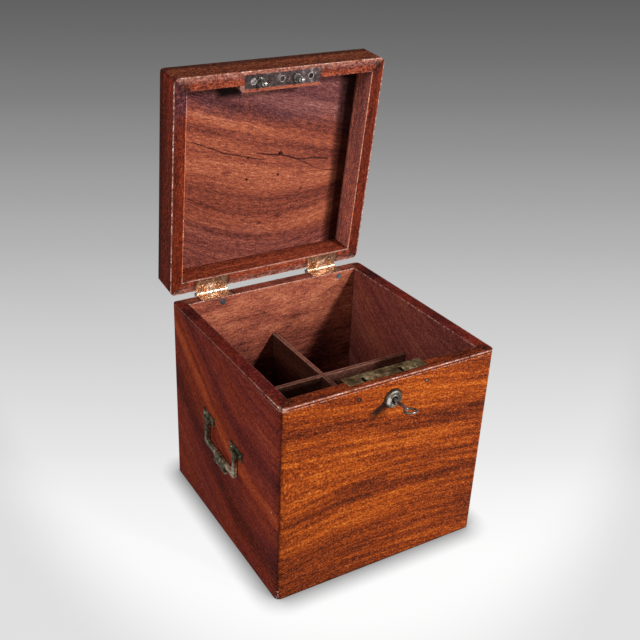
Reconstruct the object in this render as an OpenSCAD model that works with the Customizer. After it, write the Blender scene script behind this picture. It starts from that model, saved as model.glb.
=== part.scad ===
// Mahogany decanter box for four bottles, with a hinged lid, a box lock and two drop handles.
// Origin: centre of the base. +X is the right side seen from the front, +Y the back, +Z up.
// The lid is drawn closed and then turned about the hinge line to the angle at which it rests open.

/* [Case] */
// Outer width of the case
box_w = 240; // [220:1:280]
// Outer depth of the case
box_d = 240; // [220:1:280]
// Height of the case, from the floor to its rim
box_h = 220.4; // [200:0.1:280]
// Thickness of the walls of case and lid
wall_t = 13.8; // [12:0.1:16]
// Thickness of the bottom board
base_t = 10; // [6:0.5:14]
// Width of the rebate that holds the bottom board
base_rebate = 6; // [3:0.5:8]
// Radius of the upright corners
corner_r = 6; // [2:0.5:10]
// Height of the small bead round the rim
bead_h = 1.6; // [0.6:0.1:2]
// Width of the quirk cut under the bead
quirk_w = 1.2; // [0.4:0.1:1.6]
// Depth of the quirk cut under the bead
quirk_depth = 0.6; // [0.3:0.1:1]

/* [Dividers] */
// Thickness of the two dividers
divider_t = 4.8; // [3:0.1:8]
// Height of the dividers' top edge above the floor
divider_top = 160; // [100:1:170]
// Depth of the grooves that hold the dividers' ends
divider_groove = 2; // [1:0.5:4]

/* [Lid] */
// Height of the lid, from its rim to its top
lid_h = 35.8; // [30:0.1:50]
// Thickness of the lid's panel
panel_t = 8; // [5:0.5:10]
// Width of the rebate that holds the panel
panel_rebate = 6; // [3:0.5:8]
// Radius of the lid's upper edges
lid_edge_r = 2.5; // [1:0.5:4]
// Gap between the rims when the lid is closed
lid_gap = 0.3; // [0.2:0.1:1]
// Angle at which the open lid rests on its stops
lid_open = 82.94; // [60:0.01:100]
// Diameter of the four old holes in the lid's panel
old_hole_d = 2.6; // [1.5:0.1:4]
// Depth of the four old holes
old_hole_depth = 4; // [2:0.5:6]

/* [Hinges] */
// Length of each hinge
hinge_len = 37.5; // [30:0.5:50]
// Distance of each hinge's centre from the side of the case
hinge_inset = 49.4; // [35:0.1:60]
// Width of the leaf's bed on the rim, in from the back face
leaf_bed = 12.5; // [9:0.1:13]
// Thickness of the leaves
leaf_t = 2; // [1.5:0.1:3]
// Distance of the hinge line behind the back face
hinge_back = 4.4; // [3.5:0.1:8]
// Radius of the knuckles
knuckle_r = 2.5; // [2:0.1:3]
// Number of knuckles on each hinge
knuckle_n = 4; // [2:2:6]
// Radius of the hinge pins
hinge_pin_r = 1.2; // [0.8:0.1:1.5]
// Outer radius of the stop heels behind the knuckles
heel_r = 5; // [4:0.1:6]
// Distance between the two screws of a leaf
leaf_screw_pitch = 21.6; // [16:0.1:26]

/* [Lock] */
// Length of the lock and its selvedge
lock_len = 88.7; // [86:0.1:96]
// Depth of the lock, from its front plate to its back plate
lock_d = 15; // [14:0.1:18]
// Height of the lock
lock_h = 42; // [36:0.5:50]
// Wood left in front of the lock
lock_setback = 6.2; // [4:0.1:8]
// Offset of the lock's middle from the middle of the case
lock_x = -1.1; // [-3:0.1:3]
// Thickness of the selvedge
selvedge_t = 2; // [1.5:0.1:3]
// Depth of the selvedge below the rim
selvedge_sink = 0.4; // [0.2:0.1:1]
// Thickness of the lock's back plate
lock_plate_t = 1.6; // [1:0.1:2.5]
// Thickness of the lock's front plate
cap_t = 1.4; // [1:0.1:2.5]
// Length of the solid ends of the lock case
lock_end = 9.8; // [8:0.1:10]
// Distance of the key's axis below the rim
key_drop = 21.8; // [20:0.1:24]
// Travel of the bolt
bolt_travel = 5.5; // [4:0.1:6]
// Thickness of the bolt
bolt_t = 3.2; // [2:0.1:4]
// Distance of each lock screw from the middle of the case
lock_screw_x = 38.3; // [37.5:0.1:40]
// Distance of the upper lock screws below the rim
lock_screw_top = 13; // [11:0.1:16]
// Distance of the lower lock screws below the rim
lock_screw_low = 33; // [28:0.1:36]

/* [Hook plate] */
// Length of the hook plate
plate_len = 86.7; // [80:0.1:96]
// Width of the hook plate
plate_w = 14.1; // [13.5:0.1:16]
// Thickness of the hook plate
plate_t = 1.8; // [1.2:0.1:2.5]
// Distance of the plate's front edge behind the front face
plate_setback = 3.8; // [3:0.1:6]
// Positions of the two hooks along the front
hook_x = [-26.5, 15.5];
// Positions of the three plate screws along the front
plate_screw_x = [-34.6, -2.5, 30.8];
// Distance of the hooks' middle behind the front face
hook_setback = 11.75; // [11.5:0.05:12.2]
// Thickness of each hook
hook_t = 2.3; // [1.5:0.1:3]
// Width of each hook
hook_w = 7.4; // [7:0.1:8]
// Length of each hook below the lid's rim
hook_len = 10.3; // [9.5:0.1:11]
// Diameter of the round root of each hook
hook_root_d = 9; // [8:0.1:10]
// Side of the square eye in each hook
hook_eye = 4; // [3.8:0.1:4.2]
// Length of the wooden block under the plate
block_len = 92; // [90:0.5:100]
// Height of the wooden block
block_h = 12; // [6:0.5:20]
// Depth of the wooden block behind the wall
block_w = 7.4; // [5:0.1:9]

/* [Key and escutcheon] */
// Diameter of the key's pipe
pipe_d = 3.2; // [3:0.1:4]
// Diameter of the lock's drill pin
drill_pin_d = 1.6; // [1.2:0.1:2]
// Reach of the bit from the key's axis
bit_reach = 5.4; // [5:0.1:5.6]
// Thickness of the bit
bit_t = 1.5; // [1:0.1:1.8]
// Width of the bit along the key
bit_w = 4.5; // [3:0.1:6]
// Distance of the bow's centre in front of the case
bow_out = 27; // [20:0.5:40]
// Radius of the bow, to the middle of its wire
bow_r = 5.8; // [5.6:0.1:8]
// Angle by which the bow is bent up out of the key's line
bow_pitch = 13.4; // [0:0.1:20]
// Diameter of the bow's wire
bow_wire_d = 2.4; // [1.4:0.1:2.6]
// Diameter of the escutcheon
boss_d = 19.6; // [18:0.1:24]
// Diameter of the escutcheon's spigot
spigot_d = 12.4; // [12.3:0.1:14]
// Depth of the escutcheon's spigot
spigot_len = 3; // [2:0.1:4]

/* [Side handles] */
// Height of the bail's pivot above the floor
pivot_z = 122; // [100:0.5:150]
// Angle by which the left handle is fixed out of level, its front end low
left_tilt = 2.8; // [0:0.1:4]
// Distance of the handles in front of the case's middle
handle_front = 3.5; // [0:0.5:10]
// Half the distance between the bail's arms
arm_y = 31.5; // [28:0.5:45]
// Width of the bail's arms
arm_w = 5.6; // [4:0.1:8]
// Thickness of the bail
bail_t = 3.4; // [2.5:0.1:5]
// Gap between the hanging bail and the wall
bail_back = 1; // [0.5:0.1:2]
// Drop from the pivot to the top of the bail's bar
bar_drop = 23.9; // [20:0.1:40]
// Height of the bail's bar
bar_h = 5.3; // [4:0.1:8]
// Height of the shaped drop under the bar
drop_h = 9; // [5:0.5:12]
// Half the width of the shaped drop at its foot
drop_half = 15; // [12:0.5:17]
// Distance of the pivot from the wall
pivot_out = 2.6; // [2.5:0.1:4]
// Radius of the roses' knuckles
rose_knuckle_r = 2.3; // [2:0.1:2.4]
// Radius of the bail's pins
bail_pin_r = 1.1; // [0.8:0.1:1.4]
// Length of each rose
rose_len = 27; // [26:0.5:32]
// Height of each rose
rose_h = 11.4; // [10:0.1:16]
// Thickness of the roses
rose_t = 1.6; // [1:0.1:2.2]
// Distance of each rose screw from the rose's middle
rose_screw_y = 9.4; // [8.6:0.1:10]

/* [Screws and plugs] */
// Head diameter of the hinge screws
leaf_screw_head = 5.2; // [4:0.1:6]
// Head diameter of the hook plate's screws
plate_screw_head = 7; // [5:0.1:7]
// Head diameter of the lock's screws
lock_screw_head = 6; // [5:0.1:7]
// Head diameter of the roses' screws
rose_screw_head = 4.4; // [3.5:0.1:5]
// Width of the slots in the screw heads
screw_slot_w = 0.8; // [0.5:0.1:1.2]
// Depth of the slots in the screw heads
screw_slot_d = 0.6; // [0.3:0.1:0.9]
// Diameter of the iron plugs in the back wall
plug_d = 7; // [5:0.1:7]
// Depth of the iron plugs
plug_depth = 3; // [2:0.1:5]
// Distance of the left plug from the middle of the left hinge
plug_left = 5.2; // [0:0.1:10]
// Distance of the right plug from the right side of the case
plug_right = 35; // [25:0.1:60]
// Distance of the plugs' centres below the rim
plug_drop = 6; // [5.9:0.1:12]

/* [Hidden] */

$fn = 64;
eps = 0.01;
seat = 0.1; // joiner's clearance of a piece let into wood
run = 0.05; // running clearance of a pin in its hole
slack = 0.3; // clearance between pieces that pass each other
hook_room = 0.7; // room beside each hook in its slot
far = 1000; // larger than the object, for cutting shapes

mahogany = "#8a3a1c";
dark_mahogany = "#5a2a1e";
brass = "#a8894c";
dull_brass = "#6e6646";
steel = "#4a4648";
bright_steel = "#a5a29c";

front_y = -box_d / 2;
inner_w = box_w - 2 * wall_t;
inner_d = box_d - 2 * wall_t;
rim_z = box_h + lid_gap;
lid_top = rim_z + lid_h;
panel_z = lid_top - panel_t;
hinge_x = box_w / 2 - hinge_inset;
hinge_y = box_d / 2 + hinge_back;
hinge_z = box_h + lid_gap / 2;

lock_front = front_y + lock_setback;
lock_back = lock_front + lock_d;
lock_top = box_h - selvedge_sink;
lock_base = box_h - lock_h;
cavity_back = lock_back - lock_plate_t;
cavity_top = lock_top - selvedge_t;
cavity_base = lock_base + lock_plate_t;
cavity_x = lock_len / 2 - lock_end;
key_z = box_h - key_drop;
hook_y = front_y + hook_setback;
hook_tip = rim_z - hook_len;
eye_z = hook_tip + hook_eye;
nose_h = 3.2;
nose_z = eye_z - nose_h / 2;
bolt_base = key_z + 2.6;
bolt_top = hook_tip - 0.8;
nose_gap = 0.6;
nose_post = 4;
talon_half = 3.5;
talon_x = bolt_travel / 2;
guide_x = 20;
guide_len = 8;
guide_h = 2.3;
bolt_x0 = lock_x - cavity_x + slack + bolt_travel;
bolt_x1 = hook_x[1] + hook_t / 2 + nose_gap + bolt_travel + nose_post + 1;
keyhole_r = pipe_d / 2 + 0.7;
keyhole_w = bit_t + 1.1;
keyhole_drop = bit_reach + 0.5;
key_tip = cavity_back - slack;
bow_y = front_y - bow_out;
pin_front = lock_front + 0.8;

plug_x = [plug_left - hinge_x, box_w / 2 - plug_right];

leaf_screw_len = 10;
leaf_screw_r = 1.2;
leaf_slot_turn = 70;
leaf_screw_y = box_d / 2 - leaf_bed / 2 + 0.6;
plate_screw_len = 12;
plate_screw_r = 1.5;
plate_slot_turn = -35;
lock_screw_r = 1.5;
lock_slot_turn = 25;
lock_tip_r = 0.9; // blunt tips of the upper lock screws, which show on the front face
lock_low_screw_len = lock_d + 3.2;
rose_screw_len = 9;
rose_screw_r = 1.1;
rose_screw_rise = rose_h / 2 - 0.2;
knuckle_pitch = hinge_len / knuckle_n;
knuckle_gap = 0.25;
knuckle_clear = 0.4;
rose_base = -3;
ear_len = 3.6;
arm_gap = 0.3;
old_holes = [[-20.4, 9.6], [18.4, 9.6], [-20.4, -15.4], [18.4, -15.4]];

// Plain building blocks

// Rectangle with round corners, centred, made of plain squares and circles
module round_rect(w, d, r) {
    square([w - 2 * r, d], center = true);
    square([w, d - 2 * r], center = true);
    for (x = [-1, 1], y = [-1, 1]) translate([x * (w / 2 - r), y * (d / 2 - r)]) circle(r);
}

// Wedge of the plan seen from the middle towards one side: 0 front, 1 right, 2 back, 3 left
module mitre(side) {
    corners = [[-box_w / 2, -box_d / 2], [box_w / 2, -box_d / 2],
        [box_w / 2, box_d / 2], [-box_w / 2, box_d / 2]];
    inner = [[-inner_w / 2, -inner_d / 2], [inner_w / 2, -inner_d / 2],
        [inner_w / 2, inner_d / 2], [-inner_w / 2, inner_d / 2]];
    a = side;
    b = (side + 1) % 4;
    reach = 3; // carries the mitre line past the corner of the case
    polygon([inner[a] - reach * (corners[a] - inner[a]), corners[a] + reach * (corners[a] - inner[a]),
        corners[b] + reach * (corners[b] - inner[b]), inner[b] - reach * (corners[b] - inner[b])]);
}

// Plan of one mitred side of the frame that case and lid share
module side_plan(side) {
    intersection() {
        difference() {
            round_rect(box_w, box_d, corner_r);
            square([inner_w, inner_d], center = true);
        }
        mitre(side);
    }
}

// Block between two corners
module block(lo, hi) {
    translate(lo) cube(hi - lo);
}

// Rod along Y from y0 to y1
module rod_y(r, x, z, y0, y1) {
    translate([x, y0, z]) rotate([-90, 0, 0]) cylinder(r = r, h = y1 - y0);
}

// Rod along X from x0 to x1
module rod_x(r, y, z, x0, x1) {
    translate([x0, y, z]) rotate([0, 90, 0]) cylinder(r = r, h = x1 - x0);
}

// Countersunk slotted screw with its head's face at z = 0, pointing down
module flat_screw(head_d, r, len, turn, tip_r) {
    cone = head_d / 2 - r;
    tip = 2 * r;
    difference() {
        translate([0, 0, -cone]) cylinder(r1 = r, r2 = head_d / 2, h = cone);
        rotate([0, 0, turn]) screw_slot(head_d, 0);
    }
    translate([0, 0, tip - len]) cylinder(r = r, h = len - tip - cone / 2);
    translate([0, 0, -len]) cylinder(r1 = tip_r, r2 = r, h = tip);
}

// Slot across a screw head whose highest point is at height top
module screw_slot(head_d, top) {
    block([-head_d, -screw_slot_w / 2, top - screw_slot_d], [head_d, screw_slot_w / 2, top + 1]);
}

// Room for a countersunk screw
module flat_screw_hole(head_d, r, len) {
    cone = head_d / 2 - r;
    translate([0, 0, -cone]) cylinder(r1 = r + eps, r2 = head_d / 2 + eps, h = cone);
    translate([0, 0, -eps]) cylinder(r = head_d / 2 + eps, h = 1);
    translate([0, 0, -len - eps]) cylinder(r = r + eps, h = len);
}

// Turns what is drawn closed to the lid's open rest position
module opened() {
    translate([0, hinge_y, hinge_z]) rotate([-lid_open, 0, 0]) translate([0, -hinge_y, -hinge_z]) children();
}

// Case

module quirk() {
    translate([0, 0, box_h - bead_h - quirk_w]) linear_extrude(quirk_w) difference() {
        square([box_w + 2, box_d + 2], center = true);
        round_rect(box_w - 2 * quirk_depth, box_d - 2 * quirk_depth, corner_r - quirk_depth);
    }
}

module case_side(side) {
    difference() {
        linear_extrude(box_h) side_plan(side);
        quirk();
        block([-inner_w / 2 - base_rebate, -inner_d / 2 - base_rebate, -1],
            [inner_w / 2 + base_rebate, inner_d / 2 + base_rebate, base_t + seat]);
        block([-inner_w / 2 - divider_groove, -divider_t / 2 - seat, 0],
            [inner_w / 2 + divider_groove, divider_t / 2 + seat, divider_top]);
        block([-divider_t / 2 - seat, -inner_d / 2 - divider_groove, 0],
            [divider_t / 2 + seat, inner_d / 2 + divider_groove, divider_top]);
    }
}

// Keyhole along Y: a round for the pipe and a slot below it for the bit
module keyhole(y0, y1) {
    rod_y(keyhole_r, 0, key_z, y0, y1);
    block([-keyhole_w / 2, y0, key_z - keyhole_drop], [keyhole_w / 2, y1, key_z]);
}

module lock_screw_places() {
    for (x = [-1, 1]) {
        translate([x * lock_screw_x, lock_back, box_h - lock_screw_top]) rotate([-90, 0, 0])
            children(0);
        translate([x * lock_screw_x, lock_back, box_h - lock_screw_low]) rotate([-90, 0, 0])
            children(1);
    }
}

module lock_screw_holes() {
    lock_screw_places() {
        flat_screw_hole(lock_screw_head, lock_screw_r, lock_d + lock_setback + 1);
        flat_screw_hole(lock_screw_head, lock_screw_r, lock_low_screw_len);
    }
}

module front_wall() {
    color(mahogany) difference() {
        case_side(0);
        block([lock_x - lock_len / 2 - seat, lock_front - seat, lock_base - seat],
            [lock_x + lock_len / 2 + seat, 0, box_h + 1]);
        keyhole(front_y - 1, lock_front + 1);
        rod_y(spigot_d / 2 + run, 0, key_z, front_y - 1, front_y + spigot_len + seat);
        lock_screw_holes();
    }
}

module back_wall() {
    color(mahogany) difference() {
        case_side(2);
        leaf_beds(box_h - leaf_t, box_h + 1);
        leaf_screw_places(box_h) flat_screw_hole(leaf_screw_head, leaf_screw_r, leaf_screw_len);
        for (x = plug_x)
            rod_y(plug_d / 2 + eps, x, box_h - plug_drop, inner_d / 2 - 1, inner_d / 2 + plug_depth + eps);
    }
}

module left_wall() {
    color(dark_mahogany) difference() {
        case_side(3);
        handle_side(-1) rose_screw_places() rose_screw_hole();
    }
}

module right_wall() {
    color(dark_mahogany) difference() {
        case_side(1);
        handle_side(1) rose_screw_places() rose_screw_hole();
    }
}

module bottom_board() {
    color(dark_mahogany) linear_extrude(base_t)
        square([inner_w + 2 * base_rebate - 2 * seat, inner_d + 2 * base_rebate - 2 * seat], center = true);
}

// Divider along X, with its slot open at the top or at the bottom
module divider(length, slot_low, slot_high) {
    end = length / 2 + divider_groove - seat;
    difference() {
        block([-end, -divider_t / 2, base_t + seat], [end, divider_t / 2, divider_top]);
        block([-divider_t / 2 - seat, -divider_t, slot_low], [divider_t / 2 + seat, divider_t, slot_high]);
    }
}

module long_divider() {
    half = (base_t + divider_top) / 2;
    color(dark_mahogany) divider(inner_w, half, divider_top + 1);
}

module cross_divider() {
    half = (base_t + divider_top) / 2;
    color(dark_mahogany) rotate([0, 0, 90]) divider(inner_d, 0, half + seat);
}

module iron_plugs() {
    color(steel) for (x = plug_x)
        rod_y(plug_d / 2, x, box_h - plug_drop, inner_d / 2, inner_d / 2 + plug_depth);
}

// Hinges

module leaf_beds(z0, z1) {
    for (s = [-1, 1])
        block([s * hinge_x - hinge_len / 2 - seat, box_d / 2 - leaf_bed - seat, z0],
            [s * hinge_x + hinge_len / 2 + seat, box_d / 2 + 1, z1]);
}

module leaf_screw_places(z) {
    for (s = [-1, 1], t = [-1, 1])
        translate([s * hinge_x + t * leaf_screw_pitch / 2, leaf_screw_y, z]) children();
}

// Wedge of a stop heel seen along the hinge line, from radius r0 to r1 between two angles behind the pin
module heel_outline(r0, r1, a0, a1) {
    intersection() {
        difference() {
            circle(r1);
            circle(r0);
        }
        polygon([[0, 0], 2 * r1 * [cos(a0), sin(a0)], 2 * r1 * [cos(a1), sin(a1)]]);
    }
}

// Leaf of one hinge, drawn along X about the hinge line. up is 1 for the lid's leaf and -1 for the box's
module leaf(up) {
    half = lid_open / 2;
    heel_gap = 1.2; // angle that keeps the two heels just apart when the lid is open
    heel_span = 34;
    own = [for (i = [0 : knuckle_n - 1]) if ((up > 0) == (i % 2 == 1)) i];
    plate_end = -knuckle_r - knuckle_clear;
    plate_start = -hinge_back - leaf_bed;
    face = lid_gap / 2;
    difference() {
        union() {
            block([0, plate_start, up > 0 ? face : -face - leaf_t],
                [hinge_len, plate_end, up > 0 ? face + leaf_t : -face]);
            for (i = own) translate([i * knuckle_pitch + knuckle_gap / 2, 0, 0]) {
                rod_x(knuckle_r, 0, 0, 0, knuckle_pitch - knuckle_gap);
                block([0, plate_end - eps, up > 0 ? face : -face - leaf_t],
                    [knuckle_pitch - knuckle_gap, 0, up > 0 ? face + leaf_t : -face]);
                rotate([90, 0, 90]) linear_extrude(knuckle_pitch - knuckle_gap)
                    heel_outline(knuckle_r - 0.5, knuckle_r + knuckle_clear + 0.2,
                        up * (half + heel_gap / 2), up * (half + heel_span));
            }
            rotate([90, 0, 90]) linear_extrude(hinge_len)
                heel_outline(knuckle_r + knuckle_clear, heel_r,
                    up * (half + heel_gap / 2), up * (half + heel_span));
        }
        rod_x(hinge_pin_r + run, 0, 0, -1, hinge_len + 1);
    }
}

module placed_leaf(s, up) {
    color(brass) difference() {
        translate([s * hinge_x - hinge_len / 2, hinge_y, hinge_z]) leaf(up);
        if (up < 0) leaf_screw_places(box_h) flat_screw_hole(leaf_screw_head, leaf_screw_r, leaf_screw_len);
        else leaf_screw_places(rim_z) mirror([0, 0, 1])
            flat_screw_hole(leaf_screw_head, leaf_screw_r, leaf_screw_len);
    }
}

module left_box_leaf() placed_leaf(-1, -1);
module right_box_leaf() placed_leaf(1, -1);
module left_lid_leaf() opened() placed_leaf(-1, 1);
module right_lid_leaf() opened() placed_leaf(1, 1);

module hinge_pins() {
    color(brass) for (s = [-1, 1])
        rod_x(hinge_pin_r, hinge_y, hinge_z, s * hinge_x - hinge_len / 2, s * hinge_x + hinge_len / 2);
}

module box_leaf_screws() {
    color(brass) leaf_screw_places(box_h)
        flat_screw(leaf_screw_head, leaf_screw_r, leaf_screw_len, leaf_slot_turn, leaf_screw_r / 3);
}

module lid_leaf_screws() {
    color(brass) opened() leaf_screw_places(rim_z) mirror([0, 0, 1])
        flat_screw(leaf_screw_head, leaf_screw_r, leaf_screw_len, leaf_slot_turn, leaf_screw_r / 3);
}

// Lock

// Slot in the selvedge for each hook
module hook_slots() {
    for (x = hook_x)
        block([x - hook_t / 2 - hook_room, hook_y - hook_w / 2 - 2 * slack, cavity_top - 1],
            [x + hook_t / 2 + hook_room, hook_y + hook_w / 2 + slack, lock_top + 1]);
}

// Ledge and back rest of one bolt guide, on the back plate
module bolt_guide(x) {
    block([x - guide_len / 2, hook_y - bolt_t / 2 - slack, bolt_base - guide_h],
        [x + guide_len / 2, cavity_back + eps, bolt_base - run]);
    block([x - guide_len / 2, hook_y + bolt_t / 2 + run, bolt_base - guide_h],
        [x + guide_len / 2, cavity_back + eps, bolt_top - 0.6]);
}

module lock_case() {
    color(dull_brass) difference() {
        union() {
            difference() {
                block([lock_x - lock_len / 2, lock_front, lock_base],
                    [lock_x + lock_len / 2, lock_back, lock_top]);
                block([lock_x - cavity_x, lock_front - 1, cavity_base],
                    [lock_x + cavity_x, cavity_back, cavity_top]);
            }
            for (x = [-guide_x, guide_x]) bolt_guide(x);
        }
        hook_slots();
        lock_screw_holes();
        rod_y(drill_pin_d / 2 + eps, 0, key_z, cavity_back - 1, lock_back + 1);
    }
}

module lock_cap() {
    color(dull_brass) difference() {
        union() {
            block([lock_x - cavity_x + run, lock_front, cavity_base + run],
                [lock_x + cavity_x - run, lock_front + cap_t, cavity_top - run]);
            for (x = [-guide_x, guide_x])
                block([x - guide_len / 2, lock_front + cap_t - eps, bolt_base + 0.4],
                    [x + guide_len / 2, hook_y - bolt_t / 2 - run, bolt_top - 0.6]);
        }
        keyhole(lock_front - 1, lock_front + cap_t + 1);
    }
}

module drill_pin() {
    color(bright_steel) rod_y(drill_pin_d / 2, 0, key_z, pin_front, lock_back);
}

module lock_screws() {
    color(steel) lock_screw_places() {
        flat_screw(lock_screw_head, lock_screw_r, lock_d + lock_setback, lock_slot_turn, lock_tip_r);
        flat_screw(lock_screw_head, lock_screw_r, lock_low_screw_len, lock_slot_turn, lock_screw_r / 3);
    }
}

// Post and nose that reach into one hook's eye when the bolt is thrown to the left
module bolt_nose(x) {
    tip = x + hook_t / 2 + nose_gap;
    post = tip + bolt_travel;
    block([tip, hook_y - bolt_t / 2, nose_z], [post + nose_post, hook_y + bolt_t / 2, nose_z + nose_h]);
    block([post, hook_y - bolt_t / 2, bolt_top - 1],
        [post + nose_post, hook_y + bolt_t / 2, nose_z + nose_h]);
}

module lock_bolt() {
    color(bright_steel) difference() {
        union() {
            block([bolt_x0, hook_y - bolt_t / 2, bolt_base], [bolt_x1, hook_y + bolt_t / 2, bolt_top]);
            for (x = hook_x) bolt_nose(x);
        }
        block([talon_x - talon_half, hook_y - bolt_t, bolt_base - 1],
            [talon_x + talon_half, hook_y + bolt_t, key_z + bit_reach + 0.5]);
    }
}

// Thin leaf that bears on the selvedge and keeps the bolt from rattling
module bolt_spring() {
    spring_t = 0.5;
    rise = cavity_top - slack - bolt_top;
    foot = 4;
    run_len = 10;
    x0 = -10;
    color(bright_steel) translate([x0, hook_y + bolt_t / 2, bolt_top]) rotate([90, 0, 0])
        linear_extrude(bolt_t) {
            square([foot, spring_t]);
            polygon([[foot - spring_t, 0], [foot, 0], [foot + run_len, rise - spring_t],
                [foot + run_len + 2, rise - spring_t], [foot + run_len + 2, rise],
                [foot + run_len - spring_t / 2, rise], [foot - spring_t, spring_t]]);
        }
}

// Escutcheon and key

// Turned boss: a flange, a broad ring, a groove and a small ring round the keyhole
module escutcheon() {
    r = boss_d / 2;
    ring_r = r - 2.9;
    color(dull_brass) difference() {
        translate([0, front_y, key_z]) rotate([90, 0, 0]) {
            translate([0, 0, -spigot_len]) cylinder(r = spigot_d / 2, h = spigot_len + eps);
            rotate_extrude() {
                square([r, 0.8]);
                intersection() {
                    translate([ring_r, 0.6]) circle(2.75);
                    square([r, 4]);
                }
                square([ring_r, 2]);
                translate([ring_r - 3, 2.2]) circle(1.1);
            }
        }
        keyhole(front_y - 10, front_y + spigot_len + 1);
    }
}

module key() {
    color(steel) {
        difference() {
            union() {
                rod_y(pipe_d / 2, 0, key_z, bow_y + bow_r, key_tip);
                block([0, hook_y - bit_w / 2, key_z - bit_t / 2],
                    [bit_reach, hook_y + bit_w / 2, key_z + bit_t / 2]);
                translate([0, bow_y + bow_r, key_z]) rotate([-bow_pitch, 0, 0]) translate([0, -bow_r, 0])
                    rotate_extrude() translate([bow_r, 0]) circle(bow_wire_d / 2);
            }
            rod_y(drill_pin_d / 2 + run, 0, key_z, pin_front - slack, key_tip + 1);
        }
    }
}

// Lid

module lid_outline() {
    up = lid_top - lid_edge_r;
    module arch(w) {
        translate([-w / 2, rim_z]) square([w, up - rim_z]);
        translate([-w / 2 + lid_edge_r, rim_z]) square([w - 2 * lid_edge_r, lid_h]);
        for (s = [-1, 1]) translate([s * (w / 2 - lid_edge_r), up]) circle(lid_edge_r);
    }
    intersection() {
        translate([0, box_d, 0]) rotate([90, 0, 0]) linear_extrude(2 * box_d) arch(box_w);
        translate([-box_w, 0, 0]) rotate([90, 0, 90]) linear_extrude(2 * box_w) arch(box_d);
    }
}

module lid_side(side) {
    difference() {
        intersection() {
            translate([0, 0, rim_z]) linear_extrude(lid_h) side_plan(side);
            lid_outline();
        }
        block([-inner_w / 2 - panel_rebate, -inner_d / 2 - panel_rebate, panel_z - eps],
            [inner_w / 2 + panel_rebate, inner_d / 2 + panel_rebate, lid_top + 1]);
    }
}

module lid_panel() {
    color(mahogany) opened() difference() {
        block([-inner_w / 2 - panel_rebate + seat, -inner_d / 2 - panel_rebate + seat, panel_z],
            [inner_w / 2 + panel_rebate - seat, inner_d / 2 + panel_rebate - seat, lid_top]);
        for (p = old_holes) translate([p[0], p[1], panel_z - 1])
            cylinder(d = old_hole_d, h = old_hole_depth + 1);
    }
}

// Bed of the hook plate in the rim, shared by the front rail and the block
module plate_bed() {
    block([lock_x - plate_len / 2 - seat, front_y + plate_setback - seat, rim_z - 1],
        [lock_x + plate_len / 2 + seat, front_y + plate_setback + plate_w + seat, rim_z + plate_t]);
}

module plate_screw_places() {
    for (x = plate_screw_x) translate([x, front_y + plate_setback + plate_w / 2, rim_z])
        mirror([0, 0, 1]) children();
}

module lid_front_rail() {
    color(mahogany) opened() difference() {
        lid_side(0);
        plate_bed();
        plate_screw_places() flat_screw_hole(plate_screw_head, plate_screw_r, plate_screw_len);
    }
}

module lid_back_rail() {
    color(mahogany) opened() difference() {
        lid_side(2);
        leaf_beds(rim_z - 1, rim_z + leaf_t);
        leaf_screw_places(rim_z) mirror([0, 0, 1])
            flat_screw_hole(leaf_screw_head, leaf_screw_r, leaf_screw_len);
    }
}

module lid_left_rail() color(dark_mahogany) opened() lid_side(3);
module lid_right_rail() color(dark_mahogany) opened() lid_side(1);

module hook_block() {
    nose_r = 6;
    y0 = -inner_d / 2;
    x0 = lock_x + plate_len / 2 + seat - block_len;
    x1 = lock_x + plate_len / 2 + seat;
    color(mahogany) opened() difference() {
        translate([0, 0, rim_z]) linear_extrude(block_h) {
            translate([x0 + nose_r, y0]) square([x1 - x0 - nose_r, block_w]);
            translate([x0, y0]) square([x1 - x0, block_w - nose_r]);
            translate([x0 + nose_r, y0 + block_w - nose_r]) circle(nose_r);
        }
        block([x0 - 1, y0 - 2 * nose_r, rim_z - 1], [x1 + 1, y0, rim_z + block_h + 1]);
        plate_bed();
        plate_screw_places() flat_screw_hole(plate_screw_head, plate_screw_r, plate_screw_len);
    }
}

module hook_plate() {
    color(steel) opened() difference() {
        block([lock_x - plate_len / 2, front_y + plate_setback, rim_z],
            [lock_x + plate_len / 2, front_y + plate_setback + plate_w, rim_z + plate_t]);
        for (x = hook_x) translate([x, hook_y, rim_z - 1])
            cylinder(d = hook_root_d + 2 * eps, h = plate_t + 2);
        plate_screw_places() flat_screw_hole(plate_screw_head, plate_screw_r, plate_screw_len);
    }
}

// Flat hook with a round root in the plate, a round foot and a square eye for the bolt
module lid_hooks() {
    foot_r = hook_w / 2;
    color(bright_steel) opened() for (x = hook_x) difference() {
        union() {
            translate([x, hook_y, rim_z]) cylinder(d = hook_root_d, h = plate_t);
            block([x - hook_t / 2, hook_y - hook_w / 2, hook_tip + foot_r],
                [x + hook_t / 2, hook_y + hook_w / 2, rim_z + 1]);
            rod_x(foot_r, hook_y, hook_tip + foot_r, x - hook_t / 2, x + hook_t / 2);
        }
        block([x - hook_t, hook_y - hook_eye / 2, eye_z - hook_eye / 2],
            [x + hook_t, hook_y + hook_eye / 2, eye_z + hook_eye / 2]);
    }
}

module hook_plate_screws() {
    color(bright_steel) opened() plate_screw_places()
        flat_screw(plate_screw_head, plate_screw_r, plate_screw_len, plate_slot_turn, plate_screw_r / 3);
}

// Side handles, drawn on the right side and mirrored for the left

module handle_side(s) {
    mirror([s < 0 ? 1 : 0, 0, 0]) translate([box_w / 2, -handle_front, pivot_z])
        rotate([s < 0 ? left_tilt : 0, 0, 0]) children();
}

module rose_screw_places() {
    for (a = [-1, 1], b = [-1, 1])
        translate([0, a * arm_y + b * rose_screw_y, rose_base + rose_screw_rise])
            rotate([0, 90, 0]) children();
}

module rose_screw_hole() {
    translate([0, 0, -rose_screw_len]) cylinder(r = rose_screw_r + eps, h = rose_screw_len + rose_t + 1);
}

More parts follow.
